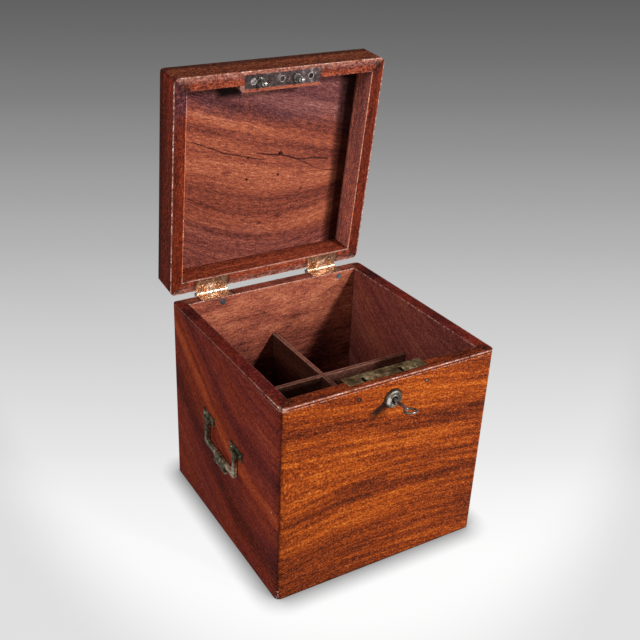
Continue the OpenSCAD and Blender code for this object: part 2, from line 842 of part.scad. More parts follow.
// Rose: a plate with hollowed ends and two knuckles for the bail's pin
module rose(y) {
    hollow_r = rose_h * 0.62;
    arm_room = arm_w / 2 + arm_gap;
    ear = arm_room + ear_len;
    difference() {
        union() {
            rotate([90, 0, 90]) linear_extrude(rose_t) translate([y, rose_base]) difference() {
                translate([-rose_len / 2, 0]) square([rose_len, rose_h]);
                for (s = [-1, 1]) {
                    translate([s * (rose_len / 2 + hollow_r * 0.78), rose_h / 2]) circle(hollow_r);
                    translate([s * (ear + 3.4), -2.2]) circle(3.6);
                    translate([s * rose_len / 3.6, rose_h + 5.4]) circle(6.4);
                }
            }
            for (s = [-1, 1]) {
                near = y + s * arm_room;
                outer = y + s * ear;
                rod_y(rose_knuckle_r, pivot_out, 0, min(near, outer), max(near, outer));
                block([0, min(near, outer), rose_base], [pivot_out, max(near, outer), rose_knuckle_r]);
            }
        }
        block([-1, y - arm_room, rose_base - 1], [rose_t + 1, y + arm_room, rose_knuckle_r + arm_gap]);
        rod_y(bail_pin_r + run, pivot_out, 0, y - ear - 1, y + ear + 1);
        rose_screw_places() rose_screw_hole();
    }
}

module left_front_rose() color(dull_brass) handle_side(-1) rose(-arm_y);
module left_back_rose() color(dull_brass) handle_side(-1) rose(arm_y);
module right_front_rose() color(dull_brass) handle_side(1) rose(-arm_y);
module right_back_rose() color(dull_brass) handle_side(1) rose(arm_y);

module bail_pins() {
    reach = arm_w / 2 + arm_gap + ear_len;
    for (a = [-1, 1]) rod_y(bail_pin_r, pivot_out, 0, a * arm_y - reach, a * arm_y + reach);
}

module left_bail_pins() color(dull_brass) handle_side(-1) bail_pins();
module right_bail_pins() color(dull_brass) handle_side(1) bail_pins();

module rose_screws() {
    color(dull_brass) for (s = [-1, 1]) handle_side(s) rose_screw_places() {
        translate([0, 0, 2.5 - rose_screw_len])
            cylinder(r = rose_screw_r, h = rose_screw_len + rose_t - 2.5 + eps);
        translate([0, 0, -rose_screw_len + 0.5]) cylinder(r1 = 0.4, r2 = rose_screw_r, h = 2);
        translate([0, 0, rose_t]) difference() {
            intersection() {
                translate([0, 0, -0.9]) sphere(d = rose_screw_head);
                cylinder(d = rose_screw_head, h = rose_screw_head);
            }
            rotate([0, 0, 55]) screw_slot(rose_screw_head, rose_screw_head / 2 - 0.9);
        }
    }
}

// Outline of the bail in the plane of the wall, with y to the back and z up from the pivot
module bail_outline() {
    half = arm_y + arm_w / 2;
    clip = 1.8; // clipped outer corners of the bail
    low = -bar_drop - bar_h;
    hollow_r = drop_h * 0.9;
    difference() {
        polygon([[-half, 0], [-half, low + clip], [-half + clip, low],
            [half - clip, low], [half, low + clip], [half, 0]]);
        translate([-arm_y + arm_w / 2, -bar_drop]) square([2 * arm_y - arm_w, bar_drop + 1]);
    }
    difference() {
        translate([-drop_half, low - drop_h]) square([2 * drop_half, drop_h + eps]);
        for (s = [-1, 1]) translate([s * (drop_half + 1.5), low - drop_h * 0.42]) circle(hollow_r * 0.72);
        translate([0, low - drop_h - 13.4]) circle(15);
    }
}

module bail() {
    out = bail_back + bail_t;
    eye_r = rose_knuckle_r;
    difference() {
        union() {
            difference() {
                translate([bail_back, 0, 0]) rotate([90, 0, 90]) linear_extrude(bail_t) bail_outline();
                block([-1, -far, -rose_knuckle_r], [out + 1, far, 1]);
            }
            for (a = [-1, 1]) {
                rod_y(eye_r, pivot_out, 0, a * arm_y - arm_w / 2, a * arm_y + arm_w / 2);
                block([bail_back, a * arm_y - arm_w / 2, -eye_r - eps], [out, a * arm_y + arm_w / 2, 0]);
            }
        }
        for (a = [-1, 1]) rod_y(bail_pin_r + run, pivot_out, 0, a * arm_y - arm_w, a * arm_y + arm_w);
    }
}

module left_bail() color(dull_brass) handle_side(-1) bail();
module right_bail() color(dull_brass) handle_side(1) bail();

front_wall();
back_wall();
left_wall();
right_wall();
bottom_board();
long_divider();
cross_divider();
iron_plugs();
left_box_leaf();
right_box_leaf();
hinge_pins();
box_leaf_screws();
lock_case();
lock_cap();
drill_pin();
lock_screws();
escutcheon();
left_front_rose();
left_back_rose();
right_front_rose();
right_back_rose();
left_bail_pins();
right_bail_pins();
rose_screws();
lid_panel();
lid_front_rail();
lid_back_rail();
lid_left_rail();
lid_right_rail();
hook_block();
hook_plate();
lid_hooks();
hook_plate_screws();
left_lid_leaf();
right_lid_leaf();
lid_leaf_screws();
lock_bolt();
bolt_spring();
key();
left_bail();
right_bail();
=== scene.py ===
import math

import bpy
from mathutils import Matrix, Vector

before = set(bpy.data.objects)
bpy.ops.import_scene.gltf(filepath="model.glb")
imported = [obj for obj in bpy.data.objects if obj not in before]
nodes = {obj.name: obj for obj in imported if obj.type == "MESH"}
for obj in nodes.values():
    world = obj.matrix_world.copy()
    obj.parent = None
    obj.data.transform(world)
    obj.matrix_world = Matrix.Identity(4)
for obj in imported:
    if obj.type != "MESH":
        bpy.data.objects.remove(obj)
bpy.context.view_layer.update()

# Sizes and places of the part, in metres of the row frame. Those of the lid are taken as it lies closed.
MM = 0.001
CASE_HALF, WALL, RIM_Z = 0.120, 0.0138, 0.2204
BEAD, QUIRK = 0.0016, 0.0012
DIVIDER, DIVIDER_TOP = 0.0048, 0.160
LID_RIM_Z, PANEL_Z, LID_TOP_Z = 0.2207, 0.2485, 0.2565
HINGE_Y, HINGE_Z, LID_OPEN = 0.1244, 0.22055, math.radians(82.94)
HINGE_X, LEAF_EDGE_Y, LEAF_MIDDLE_Y, KNUCKLE_Y = 0.0706, 0.107, 0.1155, 0.1218
LEAF_SCREW_X, LEAF_SCREW_Y = 0.0108, 0.1144
KEY_Z, BOSS_R, BOSS_HOLLOW_R = 0.1986, 0.0098, 0.0042
LOCK_TIP_X, LOCK_TIP_Z, LOCK_TIP_R = 0.0383, 0.2074, 0.0016
HOOK_X = (-0.0265, 0.0155)
LOCK_LEFT_X, LOCK_FRONT_Y, SLOT_Y, RIVET_X, RIVET_Y = -0.0446, -0.1136, -0.1068, 0.0325, -0.1075
PLATE_Y, PLATE_SCREW_X, PLATE_SCREW_R = -0.10915, (-0.0346, -0.0025, 0.0308), 0.0030

# Painted shadow of the key: its way from the keyhole down to the left; and a mark of wear, the nick on the left side
KEY_SHADOW_X, KEY_SHADOW_Z = 0.844, 0.536
NICK_Y, NICK_Z = -0.106, 0.0985

# Figure of the boards as lines of (place along, height across), and the height each list stays between
FRONT_HIGH = [(-0.120, 0.192), (-0.068, 0.187), (-0.027, 0.183), (0.0, 0.168), (0.045, 0.159), (0.110, 0.158)]
FRONT_MID = [(-0.120, 0.093), (-0.089, 0.090), (-0.057, 0.098), (-0.023, 0.100), (0.037, 0.094), (0.110, 0.084)]
FRONT_LOW = [(-0.120, 0.128), (-0.008, 0.128), (0.021, 0.122), (0.079, 0.114), (0.120, 0.114)]
SIDE_STREAK = [(-0.120, 0.093), (-0.080, 0.098), (-0.040, 0.106), (0.015, 0.131), (0.039, 0.148), (0.075, 0.171),
               (0.120, 0.203)]
FIRST_CRACK = [(-0.090, -0.0430), (-0.0605, -0.0298), (-0.0502, -0.0254), (-0.0373, -0.0207), (-0.0215, -0.0164),
               (-0.0107, -0.0130), (0.0060, -0.0100)]
SECOND_CRACK = [(-0.016, -0.0215), (0.0077, -0.0155), (0.0200, -0.0131), (0.0326, -0.0094), (0.0441, -0.0052),
                (0.0638, -0.0041), (0.0850, 0.0006)]
THIRD_CRACK = [(0.028, -0.0100), (0.0501, -0.0012), (0.0682, 0.0087), (0.0905, 0.0146)]
HIGH_SPAN, LOW_SPAN, SIDE_SPAN = (0.10, 0.22), (0.05, 0.15), (0.05, 0.25)
CRACK_SPAN, THIRD_SPAN = (-0.06, 0.02), (-0.06, 0.06)

# Bands along the grain: place across it, half width, and how much lighter or, where negative, darker they are
SIDE_BANDS = ((0.0, 0.016, 0.30), (-0.125, 0.024, 0.07), (-0.062, 0.032, -0.28), (0.046, 0.018, -0.18))
SIDE_FRONT_BANDS = ((0.076, 0.016, 0.16),)
FRONT_RIGHT_BANDS, FRONT_BANDS = ((0.079, 0.014, 0.11),), ((0.145, 0.018, 0.06),)
PANEL_BANDS = ((-0.045, 0.006, 0.14), (0.012, 0.030, 0.07), (0.070, 0.007, 0.06), (-0.062, 0.018, -0.05),
               (-0.034, 0.006, -0.16), (0.055, 0.005, -0.12), (0.085, 0.007, -0.14))

# Knots of the lid's panel, then dirt round three of its old holes: x, y, half length, how much darker
PANEL_KNOTS = ((-0.045, -0.002, 0.009, 0.20), (0.047, 0.012, 0.007, 0.22), (0.023, 0.060, 0.006, 0.26),
               (-0.001, 0.066, 0.004, 0.24), (0.050, 0.030, 0.004, 0.22), (-0.0204, 0.0096, 0.003, 0.40),
               (0.0184, 0.0096, 0.003, 0.40), (0.0195, -0.0150, 0.004, 0.50))
KNOT_SHAPE = 0.7

scene = bpy.context.scene


class Graph:
    """A material's node tree, with arithmetic on its sockets."""

    def __init__(self, name):
        self.mat = bpy.data.materials.new(name)
        self.mat.use_nodes = True
        self.tree = self.mat.node_tree
        self.tree.nodes.clear()
        self.out = self.tree.nodes.new("ShaderNodeOutputMaterial")

    def add(self, kind, **props):
        n = self.tree.nodes.new(kind)
        for k, v in props.items():
            setattr(n, k, v)
        return n

    def put(self, socket, value):
        if isinstance(value, Val):
            self.tree.links.new(value.s, socket)
        elif isinstance(value, bpy.types.NodeSocket):
            self.tree.links.new(value, socket)
        else:
            socket.default_value = value

    def math(self, op, *values):
        n = self.add("ShaderNodeMath", operation=op)
        for i, v in enumerate(values):
            self.put(n.inputs[i], v)
        return Val(self, n.outputs[0])

    def abs(self, v):
        return self.math("ABSOLUTE", v)

    def most(self, first, *others):
        for v in others:
            first = self.math("MAXIMUM", first, v)
        return first

    def least(self, first, *others):
        for v in others:
            first = self.math("MINIMUM", first, v)
        return first

    def coords(self, closed_lid=False):
        """x, y, z of the row frame in metres; for the lid, of the lid as it lies when closed."""
        c = self.add("ShaderNodeTexCoord")
        vec = c.outputs["Object"]
        if closed_lid:
            shift = self.add("ShaderNodeVectorMath", operation="SUBTRACT")
            self.tree.links.new(vec, shift.inputs[0])
            shift.inputs[1].default_value = (0, HINGE_Y, HINGE_Z)
            turn = self.add("ShaderNodeVectorRotate", rotation_type="X_AXIS")
            self.tree.links.new(shift.outputs[0], turn.inputs["Vector"])
            turn.inputs["Angle"].default_value = LID_OPEN
            back = self.add("ShaderNodeVectorMath", operation="ADD")
            self.tree.links.new(turn.outputs[0], back.inputs[0])
            back.inputs[1].default_value = (0, HINGE_Y, HINGE_Z)
            vec = back.outputs[0]
        sep = self.add("ShaderNodeSeparateXYZ")
        self.tree.links.new(vec, sep.inputs[0])
        return [Val(self, o) for o in sep.outputs]

    def vec(self, x, y, z):
        n = self.add("ShaderNodeCombineXYZ")
        for i, v in enumerate((x, y, z)):
            self.put(n.inputs[i], v)
        return n.outputs[0]

    def noise(self, x, y, z, detail=3.0, rough=0.55, warp=0.0):
        n = self.add("ShaderNodeTexNoise", noise_dimensions="3D")
        self.put(n.inputs["Vector"], self.vec(x, y, z))
        n.inputs["Scale"].default_value = 1.0
        n.inputs["Detail"].default_value = detail
        n.inputs["Roughness"].default_value = rough
        n.inputs["Distortion"].default_value = warp
        return Val(self, n.outputs["Fac"])

    def cloud(self, scale, x, y, z, detail=3.0, rough=0.55, warp=0.0):
        """Noise at the same scale, in waves per metre, in all directions."""
        return self.noise(x * scale, y * scale, z * scale, detail, rough, warp)

    def voronoi(self, x, y, z):
        n = self.add("ShaderNodeTexVoronoi", voronoi_dimensions="3D", feature="F1")
        self.put(n.inputs["Vector"], self.vec(x, y, z))
        n.inputs["Scale"].default_value = 1.0
        return Val(self, n.outputs["Distance"])

    def step(self, v, lo, hi, a=0.0, b=1.0):
        """Smooth step of v from a at lo to b at hi."""
        n = self.add("ShaderNodeMapRange", interpolation_type="SMOOTHSTEP")
        self.put(n.inputs["Value"], v)
        for k, w in (("From Min", lo), ("From Max", hi), ("To Min", a), ("To Max", b)):
            self.put(n.inputs[k], w)
        return Val(self, n.outputs[0])

    def fall(self, v, lo, hi):
        """Smooth step of v from 1 at lo down to 0 at hi."""
        return self.step(v, lo, hi, 1.0, 0.0)

    def ridge(self, v, centre, width):
        """1 on the line v = centre, falling to 0 at width on both sides."""
        return self.fall(self.abs(v - centre), 0.0, width)

    def bands(self, level, table):
        """Sum of ridges along level; the table gives each one's place, half width and strength."""
        total = 0.0
        for place, half, strength in table:
            total = self.ridge(level, place, half) * strength + total
        return total

    def oval(self, dx, dy, wide, high):
        """0 in the middle of an oval and 1 on its edge, as the square of the distance; dx and dy from its middle."""
        a, b = dx / wide, dy / high
        return a * a + b * b

    def mix(self, fac, a, b, mode="MIX"):
        n = self.add("ShaderNodeMix", data_type="RGBA", blend_type=mode)
        self.put(n.inputs["Factor"], fac)
        for sock, v in ((n.inputs[6], a), (n.inputs[7], b)):
            if isinstance(v, tuple):
                sock.default_value = (*v, 1.0)
            else:
                self.tree.links.new(v, sock)
        return n.outputs[2]

    def ramp(self, fac, stops):
        n = self.add("ShaderNodeValToRGB")
        self.put(n.inputs[0], fac)
        e = n.color_ramp.elements
        while len(e) < len(stops):
            e.new(0.5)
        for el, (p, c) in zip(e, stops):
            el.position = p
            el.color = (*c, 1.0)
        return n.outputs[0]

    def line_of(self, t, points, span):
        """Height of a smooth curve through points (t, height) at t; span bounds the heights."""
        n = self.add("ShaderNodeFloatCurve")
        t0, t1 = points[0][0], points[-1][0]
        lo, hi = span
        self.put(n.inputs["Value"], (t - t0) / (t1 - t0))
        curve = n.mapping.curves[0]
        while len(curve.points) < len(points):
            curve.points.new(0.5, 0.5)
        for p, (a, b) in zip(curve.points, points):
            p.location = ((a - t0) / (t1 - t0), (b - lo) / (hi - lo))
        n.mapping.update()
        return Val(self, n.outputs[0]) * (hi - lo) + lo

    def bump(self, height, distance):
        n = self.add("ShaderNodeBump")
        n.inputs["Strength"].default_value = 1.0
        n.inputs["Distance"].default_value = distance
        self.put(n.inputs["Height"], height)
        return n.outputs[0]

    def surface(self, color, rough, normal, metallic=0.0, specular=0.5):
        p = self.add("ShaderNodeBsdfPrincipled")
        self.put(p.inputs["Base Color"], color)
        self.put(p.inputs["Roughness"], rough)
        p.inputs["Metallic"].default_value = metallic
        p.inputs["Specular IOR Level"].default_value = specular
        self.tree.links.new(normal, p.inputs["Normal"])
        self.tree.links.new(p.outputs[0], self.out.inputs[0])
        return self.mat


class Val:
    """A number socket that takes + - * / with numbers and other sockets."""

    def __init__(self, g, s):
        self.g, self.s = g, s

    def __add__(self, o): return self.g.math("ADD", self, o)
    def __radd__(self, o): return self.g.math("ADD", o, self)
    def __sub__(self, o): return self.g.math("SUBTRACT", self, o)
    def __rsub__(self, o): return self.g.math("SUBTRACT", o, self)
    def __mul__(self, o): return self.g.math("MULTIPLY", self, o)
    def __truediv__(self, o): return self.g.math("DIVIDE", self, o)


# Wood

# Colour of each kind of board against its tone, from dark to light
WARM = [(0.0, (0.045, 0.008, 0.003)), (0.30, (0.165, 0.025, 0.004)), (0.50, (0.295, 0.049, 0.005)),
        (0.70, (0.440, 0.090, 0.007)), (1.0, (0.680, 0.215, 0.032))]
DARK = [(0.0, (0.040, 0.007, 0.006)), (0.30, (0.130, 0.018, 0.012)), (0.50, (0.230, 0.032, 0.018)),
        (0.70, (0.340, 0.058, 0.026)), (1.0, (0.500, 0.140, 0.070))]
ROSE = [(0.0, (0.065, 0.016, 0.012)), (0.30, (0.190, 0.046, 0.029)), (0.50, (0.320, 0.082, 0.047)),
        (0.70, (0.460, 0.138, 0.070)), (1.0, (0.680, 0.270, 0.150))]
LID_ROSE = [(0.0, (0.052, 0.012, 0.009)), (0.30, (0.158, 0.035, 0.022)), (0.50, (0.275, 0.064, 0.035)),
            (0.70, (0.405, 0.108, 0.050)), (1.0, (0.620, 0.240, 0.130))]
UMBER = [(0.0, (0.020, 0.007, 0.004)), (0.30, (0.056, 0.022, 0.013)), (0.50, (0.098, 0.038, 0.024)),
         (0.70, (0.160, 0.058, 0.038)), (1.0, (0.350, 0.160, 0.112))]

# Colours of rubbed places and painted edge highlights, of pale specks painted as glints, of chips, and of dirt and
# painted shade
WORN_AND_LIT_DEEP, WORN_AND_LIT = (0.45, 0.20, 0.14), (0.74, 0.42, 0.34)
PAINTED_GLINT = (0.62, 0.36, 0.28)
CHIP = (0.90, 0.74, 0.68)
DIRT_AND_SHADE = (0.014, 0.007, 0.006)
PORE_SHADE = 0.6
WOOD_RELIEF = 0.00018

# Tints that the wood's own colour is multiplied by
CASE_RIM_DULL = (1.12, 1.15, 1.65)
VEIL_ORANGE, VEIL_PURPLE, STREAK_ORANGE = (1.04, 0.88, 0.60), (0.86, 0.73, 0.84), (1.08, 0.82, 0.48)
CASE_INSIDE, LID_INSIDE = (1.00, 1.68, 2.30), (4.2, 8.8, 9.6)
RAIL_RIM_ORANGE, RAIL_RIM_GREY, RAIL_FACE = (0.92, 0.68, 0.52), (0.76, 0.74, 0.84), (0.95, 0.86, 0.60)
SIDE_RAIL_RIM, SIDE_RAIL_GREY, SIDE_RAIL_FACE = (0.92, 0.88, 0.56), (0.72, 1.25, 2.1), (2.1, 1.85, 1.20)
BLOCK_GREY = (0.80, 1.35, 1.90)
# The panel's purple veil, then the colour of its painted shadows
PANEL_PURPLE, PANEL_SHADOW = (0.65, 0.85, 1.45), (0.06, 0.04, 0.05)


# Waves per metre of the grain's parts, along it and across it; how many bands lie across is each board's own
BEND_WAVES, BANDS_ALONG = (6.0, 7.0), 3.0
STREAK_WAVES, DASH_WAVES = (11.0, 210.0), (150.0, 560.0)
SPECK_WAVES, PORE_WAVES = (480.0, 640.0), (190.0, 760.0)
MIDDLE_TONE = 0.52


def grain(g, u, v, w, seed, wave, broad, mid, long, dash, speck):
    """Tone of the wood from 0, dark, to 1, light: bent bands, thin long streaks, short dashes, specks and pores.

    wave bends the lines, broad is the bands' waves per metre; mid, long, dash and speck say how strong the bands,
    streaks, dashes and specks are.
    """
    along, over = BEND_WAVES
    v = v + (g.noise(u * along + seed, v * over, w * over, 2.0) - 0.5) * wave
    bands = g.noise(u * BANDS_ALONG + seed, v * broad, w * broad, 2.5, 0.5, 0.2)
    along, over = STREAK_WAVES
    streaks = g.noise(u * along, v * over + seed, w * over, 2.5, 0.55)
    along, over = DASH_WAVES
    dashes = g.noise(u * along + seed, v * over, w * over, 1.5, 0.6)
    along, over = SPECK_WAVES
    specks = g.noise(u * along, v * over + seed, w * over, 1.5, 0.6)
    along, over = PORE_WAVES
    pores = g.step(g.noise(u * along, v * over + seed, w * over, 1.0, 0.5), 0.60, 0.72)
    tone = (bands - 0.5) * mid + (streaks - 0.5) * long + (dashes - 0.5) * dash + (specks - 0.5) * speck + MIDDLE_TONE
    return tone, pores, dashes, specks


def wood(name, axes, stops, seed, closed_lid=False, shade=None, tints=(), wear=None, across=None, wave=0.012,
         broad=24.0, mid=0.7, long=0.5, dash=0.6, speck=0.4, lift=0.0, pore_mix=0.5, pale=0.12, rough=0.50,
         specular=0.06):
    """A waxed board.

    axes says which of x, y, z lie along the grain, across it and into the board, and across may bend the second.
    shade adds to the tone by place, each of tints gives a factor and a colour to multiply by, and wear gives how
    rubbed and how dirty a place is, with painted highlights on edges and painted shade among the dirt. All of them
    take the graph and x, y, z.
    """
    g = Graph(name)
    x, y, z = g.coords(closed_lid)
    u, v, w = (dict(x=x, y=y, z=z)[a] for a in axes)
    if across:
        v = across(g, x, y, z)
    tone, pores, dashes, specks = grain(g, u, v, w, seed, wave, broad, mid, long, dash, speck)
    if lift:
        tone = tone + lift
    if shade:
        tone = tone + shade(g, x, y, z)
    color = g.ramp(tone, stops)
    color = g.mix(pores * pore_mix, color, tuple(PORE_SHADE * c for c in stops[0][1]))
    # Pale specks painted as glints, as strong as pale says
    color = g.mix(g.step(specks, 0.56, 0.74) * pale, color, PAINTED_GLINT)
    for tint in tints:
        fac, shade_of = tint(g, x, y, z)
        color = g.mix(fac, color, shade_of, "MULTIPLY")
    height = dashes * 0.5 - pores
    matt = rough + (g.noise(u * 16.0, v * 50.0, w * 50.0, 3.0) - 0.5) * 0.22
    if wear:
        wear_and_highlight, grime_and_shade = wear(g, x, y, z)
        patchy = g.cloud(170.0, x, y, z, 3.0, 0.7)
        # Dirt and painted shade darken, rubbed places and painted edge highlights lighten, then chips
        color = g.mix(grime_and_shade, color, DIRT_AND_SHADE)
        color = g.mix(wear_and_highlight * g.step(patchy, 0.30, 0.52), color, g.mix(dashes, WORN_AND_LIT_DEEP, WORN_AND_LIT))
        color = g.mix(g.step(wear_and_highlight, 0.60, 0.95) * g.step(specks, 0.54, 0.64), color, CHIP)
        matt = matt + wear_and_highlight * 0.10
    return g.surface(color, matt, g.bump(height, WOOD_RELIEF), specular=specular)


# Places on the boards, 1 where the name says and 0 elsewhere

def case_rim(g, z):
    return g.step(z, RIM_Z - 0.0007, RIM_Z - 0.0001)


def inner_side(g, x):
    """The faces of the side boards, or of the lid's side rails, that look into the box."""
    return g.fall(g.abs(x), CASE_HALF - WALL + 0.0004, CASE_HALF - WALL + 0.0008)


def outer_face(g, out):
    return g.step(out, CASE_HALF - 0.0018, CASE_HALF - 0.0006)


def off_lid_rim(g, z):
    return g.step(z, LID_RIM_Z + 0.0006, LID_RIM_Z + 0.0016)


def panel_inside(g, z):
    return g.fall(z, PANEL_Z + 0.0010, PANEL_Z + 0.0020)


def beside_leaves(g, ax, y, off, width):
    """Strips beside the hinge leaves on a rim."""
    return g.ridge(g.abs(ax - HINGE_X), off, width) * g.step(y, LEAF_EDGE_Y - 0.001, LEAF_EDGE_Y + 0.001)


def rim_places(g, x, y, z, rim):
    """|x|, |y|, the larger of them, the distance from the rim's height, and from the mitre's diagonal."""
    ax, ay = g.abs(x), g.abs(y)
    return ax, ay, g.most(ax, ay), g.abs(z - rim), g.abs(ax - ay)


# Wear and dirt, with painted highlights and painted shade

def smudges(g, x, y, z, diag, dist, reach):
    """Dirt in and beside the mitres on the rim, and spots along the left rim near the lock."""
    on_rim = g.fall(dist, 0.0006, 0.0014)
    patch = g.cloud(130.0, x, y, z, 3.0, 0.6)
    near = g.fall(diag, 0.002, reach) * on_rim
    dots = g.cloud(420.0, x, y, z, 2.0, 0.6)
    left = g.step(y, -0.045, -0.105) * g.step(x, -0.100, -0.105) * on_rim
    return g.most(g.fall(diag, 0.0001, 0.0005) * 0.9, near * g.step(patch, 0.42, 0.60) * 0.8,
                  left * g.step(dots, 0.48, 0.60) * 0.75)


def case_wear_and_painted_light(g, x, y, z):
    """Broken bright arris round the rim, dark quirk, light edge below it and the rubbed upright corners; the light
    arris, edge and corners are partly wear and partly painted highlight.
    """
    ax, ay, out, dist, diag = rim_places(g, x, y, z, RIM_Z)
    skin = g.step(out, CASE_HALF - 0.0014, CASE_HALF - 0.0002)
    on_rim = g.fall(dist, 0.0006, 0.0014)
    broken = g.step(g.noise(x * 280.0, y * 280.0, 3.0, 2.0, 0.6), 0.42, 0.56)
    dashed = g.step(g.noise(x * 620.0, y * 620.0, 8.0, 1.0, 0.6), 0.44, 0.54)
    fade = g.most(g.step(y, -0.117, -0.030, 1.0, 0.28), g.fall(ax, 0.1185, 0.119))
    # Partly wear, partly painted highlight along the arrises, brightest at the front
    arris = skin * g.fall(dist, BEAD * 0.40, BEAD * 0.85) * (broken * 0.55 + 0.45) * fade
    corner = g.fall(diag, 0.002, 0.008) * g.step(x, -0.10, -0.11) * g.step(y, -0.10, -0.11) \
        * g.step(out, CASE_HALF - 0.0030, CASE_HALF - 0.0010) * g.fall(dist, 0.0030, 0.0045) * (broken * 0.7 + 0.3)
    # Painted highlight on the lower edge of the quirk
    below = skin * g.ridge(dist, BEAD + QUIRK + 0.0005, 0.0007) * (dashed * 0.75 + 0.1) * fade
    back_or_right = g.most(g.step(y, 0.095, 0.102) * (broken * 0.5 + 0.4), g.step(x, 0.100, 0.104) * broken * 0.7,
                           0.06)
    inner = g.fall(out, CASE_HALF - WALL + 0.0002, CASE_HALF - WALL + 0.0011) * on_rim * back_or_right
    chips = g.step(g.cloud(420.0, x, y, z, 2.0, 0.7), 0.52, 0.60)
    low = g.fall(z, 0.010, 0.018) * g.fall(diag, 0.0010, 0.0035)
    nick = g.fall(g.oval(y - NICK_Y, z - NICK_Z, 0.0016, 0.0016), 0.2, 1.0) * g.step(x, -0.1190, -0.1195)
    dark_corner = g.fall(diag, 0.0, 0.0030) * g.step(out, CASE_HALF - 0.0035, CASE_HALF - 0.0022)
    foot = g.fall(z, 0.0004, 0.0022) * g.step(out, CASE_HALF - 0.002, CASE_HALF - 0.001) * 0.7
    quirk = g.ridge(dist, BEAD + QUIRK * 0.5, QUIRK * 0.75) * g.step(out, CASE_HALF - 0.0022, CASE_HALF - 0.0010) \
        * (fade * 0.7 + 0.3)
    scuffs = g.fall(z, 0.018, 0.030) * g.fall(diag, 0.0006, 0.0024) * (1.0 - chips)
    # Painted shadow along the front edge of the sunk lock selvedge
    by_lock = g.ridge(y, LOCK_FRONT_Y - 0.0009, 0.0011) * g.step(x, -0.005, 0.012) * g.fall(x, 0.050, 0.056) * on_rim
    by_leaf = beside_leaves(g, ax, y, 0.0205, 0.0022) * on_rim
    grime_and_shade = g.most(smudges(g, x, y, z, diag, dist, 0.012), dark_corner * 0.55, foot, quirk * 0.85, by_lock * 0.8,
                   by_leaf * 0.6, scuffs * 0.8, front_stains_and_shadows(g, x, y, z))
    return g.most(arris, corner, below, inner, low * chips, nick * 0.8), grime_and_shade


def front_stains_and_shadows(g, x, y, z):
    """Painted shadows of the key, down to the left of the keyhole, and of the escutcheon round its upper right; dark
    rings round the two screw tips.
    """
    up = z - KEY_Z
    # Painted shadow of the key
    down_left, off = 0.0 - x * KEY_SHADOW_X - up * KEY_SHADOW_Z, x * KEY_SHADOW_Z - up * KEY_SHADOW_X
    key_shadow = g.step(down_left, 0.007, 0.011) * g.fall(down_left, 0.020, 0.034) \
        * g.fall(g.abs(off + 0.0005), 0.0020, 0.0062)
    # Painted shadow round the escutcheon's upper right
    boss_shadow = g.fall(x * x + up * up, BOSS_R ** 2, (BOSS_R + 0.0016) ** 2) * g.step(x + up, -0.006, 0.006)
    dx, dz = g.abs(x) - LOCK_TIP_X, z - LOCK_TIP_Z
    tips = g.fall(dx * dx + dz * dz, LOCK_TIP_R ** 2, (LOCK_TIP_R + 0.0014) ** 2)
    return g.most(key_shadow * 0.95, boss_shadow * 0.8, tips * 0.85) * g.step(y, -0.119, -0.1195)


def lid_wear_and_painted_light(g, x, y, z):
    """The same for the lid as it lies closed: its rim faces down at the lid's own rim height. Light arrises are partly
    wear and partly painted highlight; painted shade darkens the rails next to the panel.
    """
    ax, ay, out, dist, diag = rim_places(g, x, y, z, LID_RIM_Z)
    skin = g.step(out, CASE_HALF - 0.0016, CASE_HALF - 0.0002)
    on_rim = g.fall(dist, 0.0008, 0.0018)
    broken = g.step(g.noise(x * 280.0, y * 280.0, 5.0, 2.0, 0.6), 0.42, 0.56)
    arris = skin * g.fall(dist, 0.0006, 0.0014) * (broken * 0.6 + 0.35)
    back_or_right = g.most(g.step(y, 0.095, 0.102) * 0.8, g.step(x, 0.100, 0.104) * (broken * 0.6 + 0.2), 0.06)
    inner = g.fall(out, CASE_HALF - WALL + 0.0003, CASE_HALF - WALL + 0.0012) * on_rim * back_or_right
    crown = skin * g.ridge(z, LID_TOP_Z - 0.0012, 0.0014) * 0.25
    band = g.step(ay, 0.1125, 0.1185) * g.step(ay - ax, 0.0, 0.001) * on_rim * (broken * 0.30 + 0.08)
    # Painted shade where the rails meet the panel
    painted_depth_shade = g.step(z, PANEL_Z - 0.0045, PANEL_Z + 0.0001) * 0.6
    by_leaf = beside_leaves(g, ax, y, 0.0208, 0.0030) * on_rim
    grime_and_shade = g.most(smudges(g, x, y, z, diag, dist, 0.014), painted_depth_shade, by_leaf * 0.65)
    return g.most(arris, inner, crown, band), grime_and_shade


def divider_wear(g, x, y, z):
    """Thin light arrises on the dividers' tops, and the dark line where the long one meets the right wall."""
    ax, ay = g.abs(x), g.abs(y)
    off = g.abs(g.least(ax, ay) - DIVIDER / 2)
    edge = g.fall(off, 0.0003, 0.0009) * g.step(z, DIVIDER_TOP - 0.0010, DIVIDER_TOP - 0.0004)
    end = g.step(g.most(ax, ay), CASE_HALF - WALL - 0.0012, CASE_HALF - WALL - 0.0006)
    return edge * 0.55, end * 0.9


# Figure: coordinates across the grain, and lighter and darker places

def front_lines(g, x, y, z):
    """Across-grain coordinate of the front: a long arch low down, a slope down to the right above it."""
    s = g.step(z, 0.105, 0.165)
    return z + (x + 0.02) * (x + 0.02) * 0.9 * (1.0 - s) + x * 0.14 * s


